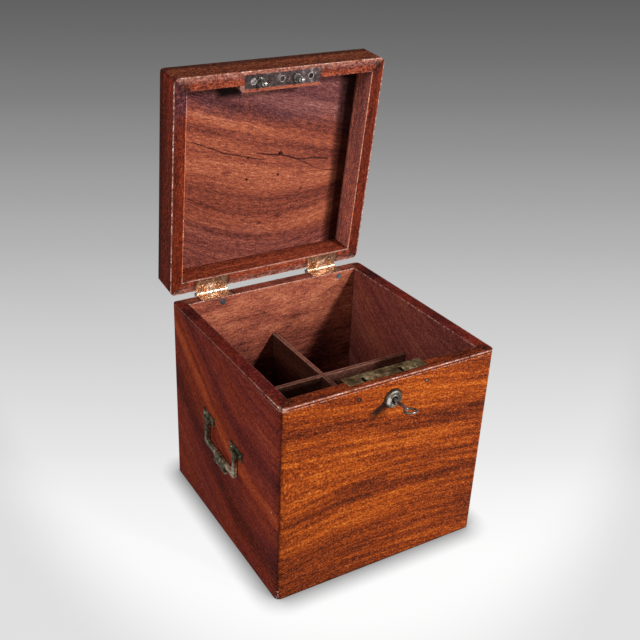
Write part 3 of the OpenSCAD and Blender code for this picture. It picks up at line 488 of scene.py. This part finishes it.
def front_shade(g, x, y, z):
    """Broad darker and lighter bands across the front board, read off the photograph; it is also darker low down, to
    the right and on its top.
    """
    level = z + (g.noise(x * 14.0, 3.0, z * 34.0, 3.0, 0.6) - 0.5) * 0.030
    high = g.line_of(x, FRONT_HIGH, HIGH_SPAN)
    mid = g.line_of(x, FRONT_MID, LOW_SPAN)
    low = g.line_of(x, FRONT_LOW, LOW_SPAN)
    dark = g.ridge(level, high, 0.015) * g.step(x, -0.02, 0.10, 0.18, 0.25) + g.ridge(level, mid, 0.014) * 0.21 \
        + g.ridge(level, low, 0.006) * g.step(x, -0.05, 0.0) * 0.13
    base = g.fall(level, 0.020, 0.085) * g.step(x, -0.02, 0.05, 1.0, 0.55) * 0.20
    right = g.step(x, 0.02, 0.12) * 0.13 + case_rim(g, z) * 0.20
    warm = g.bands(level, FRONT_RIGHT_BANDS) * g.step(x, -0.06, 0.0) + g.bands(level, FRONT_BANDS)
    return warm - dark - base - right


def side_lines(g, x, y, z):
    """Across-grain coordinate of the sides: the grain falls to the front, steeply at the back; 0 on its streak."""
    return z - g.line_of(y, SIDE_STREAK, SIDE_SPAN)


def side_shade(g, x, y, z):
    """Light and dark bands along the grain of the side boards; the inner faces are plainer."""
    level = side_lines(g, x, y, z) + (g.noise(y * 12.0, 5.0, z * 30.0, 3.0, 0.6) - 0.5) * 0.018
    bands = g.bands(level, SIDE_BANDS) + g.bands(level, SIDE_FRONT_BANDS) * g.step(y, -0.045, -0.080)
    corner = g.fall(y, -0.122, -0.100) * 0.10
    patch = g.noise(y * 40.0, 2.0, z * 40.0, 3.0, 0.6)
    rim = case_rim(g, z) * (0.36 - patch * 0.25 - g.step(y, -0.060, -0.110) * 0.14)
    return bands * (1.0 - inner_side(g, x) * 0.80) - corner - rim + (patch - 0.5) * 0.22


def back_shade(g, x, y, z):
    """A drying crack and warm patches on the inner face of the back wall, and painted shade that darkens it lower down.
    """
    wob = (g.noise(x * 60.0, 4.0, z * 60.0, 3.0) - 0.5) * 0.004
    crack = g.ridge(z + wob, x * 0.06 + 0.1903, 0.0009) * g.step(x, -0.072, -0.064) * g.fall(x, -0.014, -0.004)
    patch = g.noise(x * 26.0, 9.0, z * 40.0, 3.0, 0.55)
    # Painted shade darkens the wall lower down
    return (patch - 0.5) * 0.9 - crack * 0.34 - case_rim(g, z) * 0.24 - g.step(z, 0.172, 0.150) * 0.18


def panel_lines(g, x, y, z):
    """Across-grain coordinate of the lid's panel: it slopes at the top and arches below the middle."""
    s = g.step(y, -0.015, 0.050)
    bow = x - 0.030
    return y - x * 0.30 * (1.0 - s) + s * (bow * bow * 2.6)


def panel_shade(g, x, y, z):
    """Bands all through the lid's panel; knots and the three cracks on its inner face only."""
    wob = (g.noise(x * 22.0, y * 22.0, 2.0, 3.0) - 0.5) * 0.006
    bands = g.bands(panel_lines(g, x, y, z) + wob * 1.5, PANEL_BANDS)
    near = y + wob * 0.6
    first, second = g.line_of(x, FIRST_CRACK, CRACK_SPAN), g.line_of(x, SECOND_CRACK, CRACK_SPAN)
    third = g.line_of(x, THIRD_CRACK, THIRD_SPAN)
    crack = g.ridge(near, first, 0.0010) * g.step(x, -0.089, -0.083) * g.fall(x, -0.004, 0.004) \
        + g.ridge(near, second, 0.0015) * g.step(x, -0.016, 0.002) * g.fall(x, 0.078, 0.084) \
        + g.ridge(near, third, 0.0009) * g.step(x, 0.030, 0.036) * 0.5
    by_lock = g.step(y, -0.062, -0.080) * g.step(x, -0.04, 0.02) * 0.10
    spots = 0.0
    for knot_x, knot_y, size, depth in PANEL_KNOTS:
        knot = g.oval(x - knot_x, y + wob - knot_y, size, size * KNOT_SHAPE)
        spots = g.step(knot, 0.0, 1.0, depth, 0.0) + spots
    return bands - by_lock - (crack * 0.75 + spots) * panel_inside(g, z)


def rail_shade(g, x, y, z):
    """The outer sides and the inner faces of the lid's rails are darker than their rims."""
    out = g.most(g.abs(x), g.abs(y))
    off_rim = off_lid_rim(g, z)
    side = outer_face(g, out) * off_rim
    inside = g.fall(out, CASE_HALF - WALL + 0.0002, CASE_HALF - WALL + 0.0008) * off_rim
    top = g.step(z, LID_TOP_Z - 0.0020, LID_TOP_Z - 0.0005)
    return 0.0 - g.most(side * 0.20, top * 0.24, inside * 0.10)


def divider_shade(g, x, y, z):
    """The dividers' top edges are rubbed lighter than their sides; painted light lifts the long divider's front face
    right of the crossing, and painted shade darkens them deeper down.
    """
    # Painted light on the long divider's front face right of the crossing
    rubbed = g.step(x, 0.003, 0.010) * g.step(y, -0.0020, -0.0023) * 0.20
    top = g.step(z, DIVIDER_TOP - 0.0006, DIVIDER_TOP - 0.0002)
    # Painted shade deeper in the compartments
    return top * (0.32 - rubbed) + rubbed - g.step(z, DIVIDER_TOP - 0.004, DIVIDER_TOP - 0.050) * 0.18


# Tints: how much of which colour, by place

def front_rim(g, x, y, z):
    """The front wall's top is a duller brown than its face."""
    return case_rim(g, z), CASE_RIM_DULL


def side_veil(g, x, y, z):
    """Orange and purple clouds along the grain of the side boards, orange on the light streak."""
    level = side_lines(g, x, y, z)
    cloud = g.noise(y * 9.0 + 4.0, 1.0, level * 34.0, 2.5, 0.55) - g.ridge(level, 0.0, 0.014) * 0.20 \
        + g.ridge(level, 0.046, 0.020) * 0.14
    veil = g.mix(g.step(cloud, 0.40, 0.60), VEIL_ORANGE, VEIL_PURPLE)
    return 1.0 - inner_side(g, x) * 0.8, g.mix(g.ridge(level, 0.0, 0.020) * 0.8, veil, STREAK_ORANGE)


def paler_inside(g, x, y, z):
    """The inner faces of the side boards are paler and browner than their polished outsides."""
    return inner_side(g, x), CASE_INSIDE


def panel_tint(g, x, y, z):
    """Purple veil over the ends of the panel, near the front rail and near the hinges."""
    drift = y - x * 0.25 + (g.noise(x * 18.0, y * 18.0, 6.0, 3.0) - 0.5) * 0.05
    top = g.step(drift, -0.045, -0.075)
    foot = g.step(drift, 0.060, 0.090) * 0.45
    return g.most(top, foot), PANEL_PURPLE


def panel_painted_shadows(g, x, y, z):
    """Painted shadows on the panel: nearly black beside the hook block and dark along the right rail."""
    # Painted shadows of the hook block and of the right rail
    block_shadow = g.step(x - (y + 0.095) * 0.5, -0.066, -0.058) * g.fall(x, -0.036, -0.031) * g.step(y, -0.0840, -0.0890)
    rail_shadow = g.step(x, 0.083, 0.093)
    return g.most(block_shadow * 0.96, rail_shadow * 0.84) * panel_inside(g, z), PANEL_SHADOW


def pink_inside(g, x, y, z):
    """The inner faces of the lid's side rails are unpolished and pinkish."""
    return inner_side(g, x), LID_INSIDE


def brown_outside(g, x, y, z):
    """The lid's front and back rails: brown outer faces; rims orange inside and greyed pink outside."""
    out = g.abs(y)
    patch = g.noise(x * 120.0, y * 120.0, 2.0, 3.0, 0.6)
    rim = g.mix(g.step(out + (patch - 0.5) * 0.010, 0.1105, 0.1150), RAIL_RIM_ORANGE, RAIL_RIM_GREY)
    return 1.0, g.mix(outer_face(g, out), rim, RAIL_FACE)


def warm_outside(g, x, y, z):
    """The outer faces of the lid's side rails are a lighter brown than their rims."""
    return outer_face(g, g.abs(x)) * off_lid_rim(g, z), SIDE_RAIL_FACE


def grey_corner(g, x, y, z):
    """The left end of the lid's rim near the lock is greyed; the rest of the side rims is a warm brown."""
    patch = g.noise(x * 90.0, y * 90.0, 1.0, 3.0, 0.6)
    near = g.step(y + (patch - 0.5) * 0.05, -0.072, -0.092) * g.step(x, 0.0, -0.01)
    return g.step(z, LID_RIM_Z + 0.0016, LID_RIM_Z + 0.0006), g.mix(near, SIDE_RAIL_RIM, SIDE_RAIL_GREY)


def grey_end(g, x, y, z):
    """The hook block's end by the left hook is greyed with handling."""
    return g.step(x, -0.0440, -0.0460), BLOCK_GREY


front_mat = wood("front_mahogany", "xzy", WARM, 3.1, shade=front_shade, tints=(front_rim,), wear=case_wear_and_painted_light,
                 across=front_lines, wave=0.016, broad=20.0, mid=0.60, long=0.92, dash=0.70, speck=1.15, pale=0.08)
back_mat = wood("back_mahogany", "xzy", ROSE, 9.4, shade=back_shade, wear=case_wear_and_painted_light, mid=0.85, dash=0.8, speck=0.75,
                pale=0.13)
side_mat = wood("side_mahogany", "yzx", DARK, 5.7, shade=side_shade, tints=(side_veil, paler_inside), wear=case_wear_and_painted_light,
                across=side_lines, broad=30.0, mid=0.25, long=0.55, speck=0.9, pore_mix=0.2, pale=0.10)
base_mat = wood("base_mahogany", "xyz", DARK, 1.3, rough=0.6)
divider_x_mat = wood("divider_long_mahogany", "xzy", UMBER, 7.9, shade=divider_shade, wear=divider_wear, broad=40.0)
divider_y_mat = wood("divider_cross_mahogany", "yzx", UMBER, 8.8, shade=divider_shade, wear=divider_wear, broad=40.0)
panel_mat = wood("lid_panel_mahogany", "xyz", LID_ROSE, 2.6, True, shade=panel_shade,
                 tints=(panel_tint, panel_painted_shadows), across=panel_lines, wave=0.010, broad=46.0, mid=0.95, long=0.45,
                 dash=0.9, speck=0.7, rough=0.48, specular=0.08)
rail_x_mat = wood("lid_rail_mahogany", "xzy", ROSE, 6.1, True, shade=rail_shade, tints=(brown_outside,),
                  wear=lid_wear_and_painted_light, broad=60.0, dash=1.1, speck=1.3, lift=-0.12, pale=0.2)
rail_y_mat = wood("lid_side_mahogany", "yzx", DARK, 4.4, True, shade=rail_shade,
                  tints=(pink_inside, warm_outside, grey_corner), wear=lid_wear_and_painted_light, broad=60.0, dash=0.8, speck=0.8,
                  lift=-0.19, pore_mix=0.2, pale=0.06)
block_mat = wood("block_mahogany", "xzy", ROSE, 11.0, True, tints=(grey_end,), lift=-0.05)


# Metals

# Colour of each metal against its tone, from tarnish to bright
HINGE = [(0.0, (0.09, 0.040, 0.020)), (0.40, (0.31, 0.148, 0.075)), (0.66, (0.62, 0.36, 0.19)),
         (1.0, (0.98, 0.84, 0.70))]
OLIVE = [(0.0, (0.040, 0.022, 0.010)), (0.38, (0.160, 0.098, 0.040)), (0.62, (0.35, 0.225, 0.098)),
         (1.0, (0.85, 0.70, 0.46))]
GREEN = [(0.0, (0.032, 0.025, 0.015)), (0.42, (0.125, 0.100, 0.058)), (0.68, (0.34, 0.275, 0.165)),
         (1.0, (0.95, 0.84, 0.60))]
BOSS = [(0.0, (0.030, 0.025, 0.020)), (0.40, (0.108, 0.090, 0.068)), (0.70, (0.29, 0.255, 0.21)),
        (1.0, (0.90, 0.86, 0.80))]
IRON = [(0.0, (0.014, 0.008, 0.008)), (0.45, (0.048, 0.027, 0.025)), (0.75, (0.15, 0.095, 0.088)),
        (1.0, (0.52, 0.46, 0.44))]
SLATE = [(0.0, (0.020, 0.022, 0.028)), (0.5, (0.055, 0.060, 0.076)), (0.8, (0.11, 0.12, 0.145)),
         (1.0, (0.24, 0.25, 0.28))]
STEEL = [(0.0, (0.10, 0.085, 0.075)), (0.5, (0.30, 0.275, 0.25)), (0.8, (0.56, 0.54, 0.51)), (1.0, (0.80, 0.79, 0.77))]
PEWTER = [(0.0, (0.04, 0.028, 0.024)), (0.40, (0.13, 0.094, 0.082)), (0.70, (0.30, 0.240, 0.215)),
          (1.0, (0.85, 0.78, 0.74))]
HINGE_TARNISH = (0.17, 0.078, 0.052)
STEEL_TARNISH = (0.12, 0.10, 0.085)

# Scratches per metre along each axis, as a share of SCRATCHES; a small share draws them out along that axis
SCRATCHES = 2600.0
RUBBED_ALONG_HINGE = (0.08, 1.0, 1.0)
RUBBED_ALONG_LOCK = (0.06, 1.0, 1.0)
METAL_RELIEF = 0.00006
# Waves per metre of the tarnish's patches, its broad clouds and the pits
PATCH_WAVES, CLOUD_WAVES, PIT_WAVES = 260.0, 70.0, 1500.0


def metal(name, stops, tarnish, rough, scale=1.0, closed_lid=False, streak=(1.0, 1.0, 1.0), spots=None, metallic=0.75,
          mottle=1.0):
    """Old metal: a patchy tarnish over the bare metal, fine scratches and pits; spots adds to the tone by place."""
    g = Graph(name)
    x, y, z = g.coords(closed_lid)
    s = PATCH_WAVES * scale
    patch = g.cloud(s, x, y, z, 5.0, 0.65, 0.4)
    cloud = g.cloud(CLOUD_WAVES * scale, x, y, z)
    lines = g.noise(x * (SCRATCHES * streak[0]), y * (SCRATCHES * streak[1]), z * (SCRATCHES * streak[2]), 2.0)
    pits = g.fall(g.voronoi(x * PIT_WAVES, y * PIT_WAVES, z * PIT_WAVES), 0.10, 0.24)
    tone = ((patch - 0.5) * 1.9 + (cloud - 0.5) * 1.6) * mottle + (lines - 0.5) * 0.3 + 0.5
    if spots:
        tone = tone + spots(g, x, y, z)
    color = g.ramp(tone, stops)
    dull = g.step(g.noise(x * s + 7.0, y * s, z * s, 4.0, 0.65, 0.4) + (cloud - 0.5) * 0.8, 0.50, 0.60)
    color = g.mix(dull * (0.6 * mottle), color, tarnish)
    color = g.mix(pits * 0.5, color, tuple(0.4 * c for c in tarnish))
    gloss = rough + dull * 0.20 + (lines - 0.5) * 0.10
    height = lines * 0.25 - pits * (0.7 * mottle) + patch * (0.5 * mottle)
    return g.surface(color, gloss, g.bump(height, METAL_RELIEF), metallic=metallic)


def hinge_spots(g, x, y, z):
    """The rubbed patch between the two screws of each leaf, a painted highlight along the knuckles, and the ringed
    screws.
    """
    ax = g.abs(g.abs(x) - HINGE_X)
    patch = g.fall(ax, 0.0040, 0.0062) * g.ridge(y, LEAF_MIDDLE_Y, 0.0042)
    r2 = g.oval(ax - LEAF_SCREW_X, y - LEAF_SCREW_Y, 0.0014, 0.0014)
    screws = g.step(r2, 0.5, 1.2, 0.45, 0.0) - g.ridge(r2, 3.0, 2.4) * 0.35
    # The knuckles carry a painted highlight
    return patch * 0.45 + g.step(y, KNUCKLE_Y - 0.0006, KNUCKLE_Y + 0.0006) * 0.40 + screws * g.fall(y, 0.1190, 0.1200)


def lock_spots(g, x, y, z):
    """Bright metal round the two slots and the rivet, a painted highlight on the left end of the selvedge, a darker
    right end, and painted shade inside the slots and the case below the selvedge.
    """
    out = 0.0
    for hook_x in HOOK_X:
        slot = g.oval(x - (hook_x + 0.0022), y - SLOT_Y, 0.0034, 0.0042)
        out = g.step(slot, 0.45, 1.2, 0.35, 0.0) + out
    rivet = g.oval(x - RIVET_X, y - RIVET_Y, 0.0012, 0.0012)
    out = g.step(rivet, 0.3, 1.2, 0.45, 0.0) + out
    # Painted highlight on the left end of the selvedge
    edge = g.step(x, LOCK_LEFT_X + 0.0006, LOCK_LEFT_X - 0.0006) * 0.45 + g.ridge(y, LOCK_FRONT_Y, 0.0007) * 0.2 \
        - g.step(x, -0.030, -0.036) * 0.16
    # Painted shade below the selvedge's top, in the slots and the case
    return out + edge - 0.03 - g.step(x, 0.024, 0.040) * 0.20 - g.step(z, RIM_Z - 0.0006, RIM_Z - 0.0010) * 1.2


def boss_spots(g, x, y, z):
    """A painted highlight on the left of the broad ring; darker at the keyhole and round the outside."""
    up = z - KEY_Z
    r2 = x * x + up * up
    # Painted highlight on the left of the broad ring
    polished = g.step(g.oval(x + 0.0062, up, 0.0026, 0.0046), 0.0, 1.0, 0.85, 0.0)
    return polished + 0.02 - g.step(r2, BOSS_HOLLOW_R ** 2, (BOSS_HOLLOW_R - 0.0018) ** 2) * 0.6 \
        - g.step(r2, (BOSS_R - 0.0012) ** 2, (BOSS_R - 0.0004) ** 2) * 0.35


def tip_spots(g, x, y, z):
    """Of the two upper lock screws' tips, the left is dark and the right bright."""
    return g.step(x, -0.01, 0.01, -0.45, 0.35)


def plate_spots(g, x, y, z):
    """Lighter right end and edges of the hook plate, darker left end and places round the hooks' roots."""
    mid_x, half = (HOOK_X[1] + HOOK_X[0]) / 2, (HOOK_X[1] - HOOK_X[0]) / 2
    edge = g.step(g.abs(y - PLATE_Y), 0.0056, 0.0068) * 0.12 + g.step(x, 0.030, 0.042) * 0.10
    roots = g.step(g.abs(g.abs(x - mid_x) - half), 0.0030, 0.0065, 0.22, 0.0)
    return edge - roots - g.step(x, -0.022, -0.038) * 0.22


def screw_rims(g, x, y, z):
    """The heads of the hook plate's screws have rubbed rims; the left head is light and the others are dark."""
    off = g.least(*(g.abs(x - screw_x) for screw_x in PLATE_SCREW_X))
    mid_y = y - PLATE_Y
    middle = g.step(x, -0.030, -0.020, 0.35, -0.20)
    return g.step(off * off + mid_y * mid_y, (PLATE_SCREW_R - 0.0008) ** 2, PLATE_SCREW_R ** 2, middle, 0.60)


def bail_spots(g, x, y, z):
    """The bail is brightest on its bar and low down, partly rubbed where fingers lift it and partly painted highlight.
    """
    return g.step(z, 0.112, 0.100) * (g.step(y, -0.010, -0.024) * 0.45 + 0.16) - 0.06


hinge_mat = metal("hinge_brass", HINGE, HINGE_TARNISH, 0.34, 1.3, streak=RUBBED_ALONG_HINGE, spots=hinge_spots)
hinge_lid_mat = metal("hinge_brass_lid", HINGE, HINGE_TARNISH, 0.34, 1.3, closed_lid=True, streak=RUBBED_ALONG_HINGE,
                      spots=hinge_spots)
lock_mat = metal("lock_brass", OLIVE, (0.095, 0.072, 0.036), 0.42, 0.9, streak=RUBBED_ALONG_LOCK, spots=lock_spots,
                 metallic=0.6)
boss_mat = metal("escutcheon_brass", BOSS, (0.060, 0.050, 0.042), 0.42, 0.7, spots=boss_spots, mottle=0.45)
handle_mat = metal("handle_brass", GREEN, (0.055, 0.050, 0.032), 0.36, 1.1, spots=bail_spots, metallic=0.6)
plate_mat = metal("hook_plate_steel", IRON, (0.050, 0.040, 0.042), 0.42, 0.8, closed_lid=True,
                  streak=RUBBED_ALONG_HINGE, spots=plate_spots, metallic=0.6)
plate_screw_mat = metal("hook_plate_screw_steel", IRON, (0.07, 0.058, 0.055), 0.36, 0.5, closed_lid=True,
                        spots=screw_rims)
hook_mat = metal("hook_steel", STEEL, STEEL_TARNISH, 0.30, closed_lid=True)
iron_mat = metal("plug_iron", SLATE, (0.036, 0.040, 0.052), 0.6, metallic=0.3)
screw_mat = metal("screw_steel", STEEL, (0.10, 0.085, 0.085), 0.4, spots=tip_spots)
key_mat = metal("key_steel", PEWTER, (0.10, 0.082, 0.080), 0.32, metallic=0.6)
works_mat = metal("works_steel", STEEL, STEEL_TARNISH, 0.34)

# Which pieces each material goes on

DRESS = (
    (front_mat, "front_wall"),
    (back_mat, "back_wall"),
    (side_mat, "left_wall right_wall"),
    (base_mat, "bottom_board"),
    (divider_x_mat, "long_divider"),
    (divider_y_mat, "cross_divider"),
    (panel_mat, "lid_panel"),
    (rail_x_mat, "lid_front_rail lid_back_rail"),
    (rail_y_mat, "lid_left_rail lid_right_rail"),
    (block_mat, "hook_block"),
    (hinge_mat, "left_box_leaf right_box_leaf hinge_pins box_leaf_screws"),
    (hinge_lid_mat, "left_lid_leaf right_lid_leaf lid_leaf_screws"),
    (lock_mat, "lock_case lock_cap"),
    (boss_mat, "escutcheon"),
    (handle_mat, "left_bail left_bail_pins left_front_rose left_back_rose"),
    (handle_mat, "right_bail right_bail_pins right_front_rose right_back_rose rose_screws"),
    (plate_mat, "hook_plate"),
    (plate_screw_mat, "hook_plate_screws"),
    (hook_mat, "lid_hooks"),
    (iron_mat, "iron_plugs"),
    (screw_mat, "lock_screws"),
    (key_mat, "key"),
    (works_mat, "drill_pin lock_bolt bolt_spring"),
)
# Width in millimetres of the worn round on the edges of these pieces; the others keep their edges sharp
SOFT_EDGES = (
    (0.20, "left_box_leaf right_box_leaf left_lid_leaf right_lid_leaf key"),
    (0.25, "lock_case"),
    (0.30, "front_wall back_wall left_wall right_wall hook_plate"),
    (0.35, "left_front_rose left_back_rose right_front_rose right_back_rose lid_hooks"),
    (0.4, "long_divider cross_divider"),
    (0.5, "bottom_board"),
    (0.7, "lid_front_rail lid_back_rail lid_left_rail lid_right_rail left_bail right_bail"),
    (0.8, "hook_block"),
)
SOFT_ANGLE, FLAT_ANGLE = math.radians(38), math.radians(35)

material_of = {name: mat for mat, names in DRESS for name in names.split()}
edge_of = {name: width for width, names in SOFT_EDGES for name in names.split()}
for name, o in nodes.items():
    o.data.materials.clear()
    o.data.materials.append(material_of[name])
    for poly in o.data.polygons:
        poly.use_smooth = True
    if name in edge_of:
        b = o.modifiers.new("worn_edge", "BEVEL")
        b.width = edge_of[name] * MM
        b.segments = 2
        b.limit_method = "ANGLE"
        b.angle_limit = SOFT_ANGLE
        b.harden_normals = True
    else:
        s = o.modifiers.new("flat_faces", "EDGE_SPLIT")
        s.split_angle = FLAT_ANGLE

# Floor

# How grey the floor looks, against the distance along FLOOR_WAY in metres from the object's middle
FLOOR_WAY = (0.465, 0.885)
FLOOR_NEAR, FLOOR_FAR = -0.40, 4.40
FLOOR_GREYS = [(-0.40, 0.99), (-0.09, 0.965), (0.00, 0.912), (0.09, 0.816), (0.21, 0.737), (0.35, 0.651), (0.52, 0.565),
               (0.73, 0.468), (1.01, 0.381), (1.39, 0.296), (1.94, 0.219), (2.58, 0.174), (3.27, 0.147), (4.12, 0.127)]
FLOOR_R, FLOOR_SIDES = 9.0, 96
# How much darker it looks outside the pool of light, and how wide the pool opens
POOL_DROP, POOL_BEND = 0.235, 0.42
# Reach, strength and samples of the contact shadow
CONTACT_REACH, CONTACT_POWER, CONTACT_SAMPLES = 0.025, 1.65, 16
# What camera rays see: mostly the grey itself and a little of it as a matt surface. Other rays see FLOOR_PALE.
FLOOR_GLOW, FLOOR_MATT = 0.945, 0.07
FLOOR_PALE = (0.45, 0.45, 0.45, 1.0)


def show_to_camera(tree, others, seen, out):
    """Camera rays meet the shader seen, all other rays the shader others."""
    path = tree.nodes.new("ShaderNodeLightPath")
    pick = tree.nodes.new("ShaderNodeMixShader")
    tree.links.new(path.outputs["Is Camera Ray"], pick.inputs[0])
    tree.links.new(others.outputs[0], pick.inputs[1])
    tree.links.new(seen.outputs[0], pick.inputs[2])
    tree.links.new(pick.outputs[0], out.inputs[0])


def floor_material():
    g = Graph("studio_floor")
    x, y, _ = g.coords()
    along = x * FLOOR_WAY[0] + y * FLOOR_WAY[1]
    aside = x * FLOOR_WAY[1] - y * FLOOR_WAY[0]
    reach = FLOOR_FAR - FLOOR_NEAR
    grey = g.ramp((along - FLOOR_NEAR) / reach, [((d - FLOOR_NEAR) / reach, (v, v, v)) for d, v in FLOOR_GREYS])
    drop = g.step(aside * aside / POOL_BEND - along - 0.20, -0.03, 0.15) * g.step(along, -0.12, 0.06, 1.0, 0.76) \
        * g.fall(along, 0.10, 0.50)
    pool = 1.0 - drop * POOL_DROP
    shown = g.mix(1.0, grey, g.vec(pool, pool, pool), "MULTIPLY")
    close = g.add("ShaderNodeAmbientOcclusion", samples=CONTACT_SAMPLES)
    close.inputs["Distance"].default_value = CONTACT_REACH
    contact = g.math("POWER", Val(g, close.outputs["AO"]), CONTACT_POWER)
    glow = g.add("ShaderNodeEmission")
    g.put(glow.inputs["Color"], g.mix(1.0, shown, g.vec(contact, contact, contact), "MULTIPLY"))
    glow.inputs["Strength"].default_value = FLOOR_GLOW
    matt = g.add("ShaderNodeBsdfDiffuse")
    g.put(matt.inputs["Color"], shown)
    black = g.add("ShaderNodeEmission")
    black.inputs["Strength"].default_value = 0.0
    matt_part = g.add("ShaderNodeMixShader")
    matt_part.inputs[0].default_value = FLOOR_MATT
    g.tree.links.new(black.outputs[0], matt_part.inputs[1])
    g.tree.links.new(matt.outputs[0], matt_part.inputs[2])
    both = g.add("ShaderNodeAddShader")
    g.tree.links.new(glow.outputs[0], both.inputs[0])
    g.tree.links.new(matt_part.outputs[0], both.inputs[1])
    pale = g.add("ShaderNodeBsdfDiffuse")
    pale.inputs["Color"].default_value = FLOOR_PALE
    show_to_camera(g.tree, pale, both, g.out)
    return g.mat


mesh = bpy.data.meshes.new("floor")
ring = [(FLOOR_R * math.cos(i * math.tau / FLOOR_SIDES), FLOOR_R * math.sin(i * math.tau / FLOOR_SIDES), 0.0)
        for i in range(FLOOR_SIDES)]
mesh.from_pydata(ring, [], [list(range(FLOOR_SIDES))])
mesh.materials.append(floor_material())
floor = bpy.data.objects.new("floor", mesh)
scene.collection.objects.link(floor)

# Lights

# The world's light, and the grey that the camera sees behind the floor
AMBIENT, WORLD_SEEN = 0.11, 0.42
LAMP_FAR, LAMP_AIM = 2.0, (0.0, 0.0, 0.2)
# Each lamp: name, the way from the object to it, its size, and what it gives a white surface that faces it
LAMPS = (("key_light", (0.36, -0.80, 0.47), 0.20, 0.86),
         ("second_light", (0.60, -0.75, 0.28), 0.20, 0.34),
         ("left_light", (-0.86, -0.22, 0.46), 1.20, 0.43))

world = bpy.data.worlds.new("studio")
scene.world = world
world.use_nodes = True
world_tree = world.node_tree
world_tree.nodes.clear()
world_out = world_tree.nodes.new("ShaderNodeOutputWorld")
soft = world_tree.nodes.new("ShaderNodeBackground")
soft.inputs["Color"].default_value = (1.0, 1.0, 1.0, 1.0)
soft.inputs["Strength"].default_value = AMBIENT
seen = world_tree.nodes.new("ShaderNodeBackground")
seen.inputs["Color"].default_value = (WORLD_SEEN, WORLD_SEEN, WORLD_SEEN, 1.0)
seen.inputs["Strength"].default_value = 1.0
show_to_camera(world_tree, soft, seen, world_out)

for name, toward, size, level in LAMPS:
    data = bpy.data.lights.new(name, "AREA")
    data.shape = "SQUARE"
    data.size = size
    data.energy = level * (math.pi * LAMP_FAR) ** 2
    lamp = bpy.data.objects.new(name, data)
    way = Vector(toward).normalized()
    lamp.location = Vector(LAMP_AIM) + way * LAMP_FAR
    lamp.rotation_euler = way.to_track_quat("Z", "Y").to_euler()
    scene.collection.objects.link(lamp)

# Camera, fitted to the photograph's edges

RIGHT = Vector((0.88649571, -0.46270916, 0.00505778))
UP = Vector((0.2032373, 0.39915146, 0.89407646))
AHEAD = Vector((0.41571619, 0.79156702, -0.44788582))
CAMERA_AT = Vector((-0.44568726, -0.67806263, 0.64092807))
# Focal length and the photograph's centre of view, in pixels of its 640
FOCAL_PX, PICTURE_PX = 884.97, 640.0
CENTRE_X, CENTRE_Y = 248.49, 309.95
SENSOR_MM = 36.0
cam_data = bpy.data.cameras.new("photo_camera")
cam_data.sensor_width = SENSOR_MM
cam_data.sensor_fit = "HORIZONTAL"
cam_data.lens = SENSOR_MM * FOCAL_PX / PICTURE_PX
cam_data.shift_x = (PICTURE_PX / 2 - CENTRE_X) / PICTURE_PX
cam_data.shift_y = (CENTRE_Y - PICTURE_PX / 2) / PICTURE_PX
camera = bpy.data.objects.new("photo_camera", cam_data)
place = Matrix((RIGHT, UP, -AHEAD)).transposed().to_4x4()
place.translation = CAMERA_AT
camera.matrix_world = place
scene.collection.objects.link(camera)
scene.camera = camera

scene.view_settings.view_transform = "Standard"
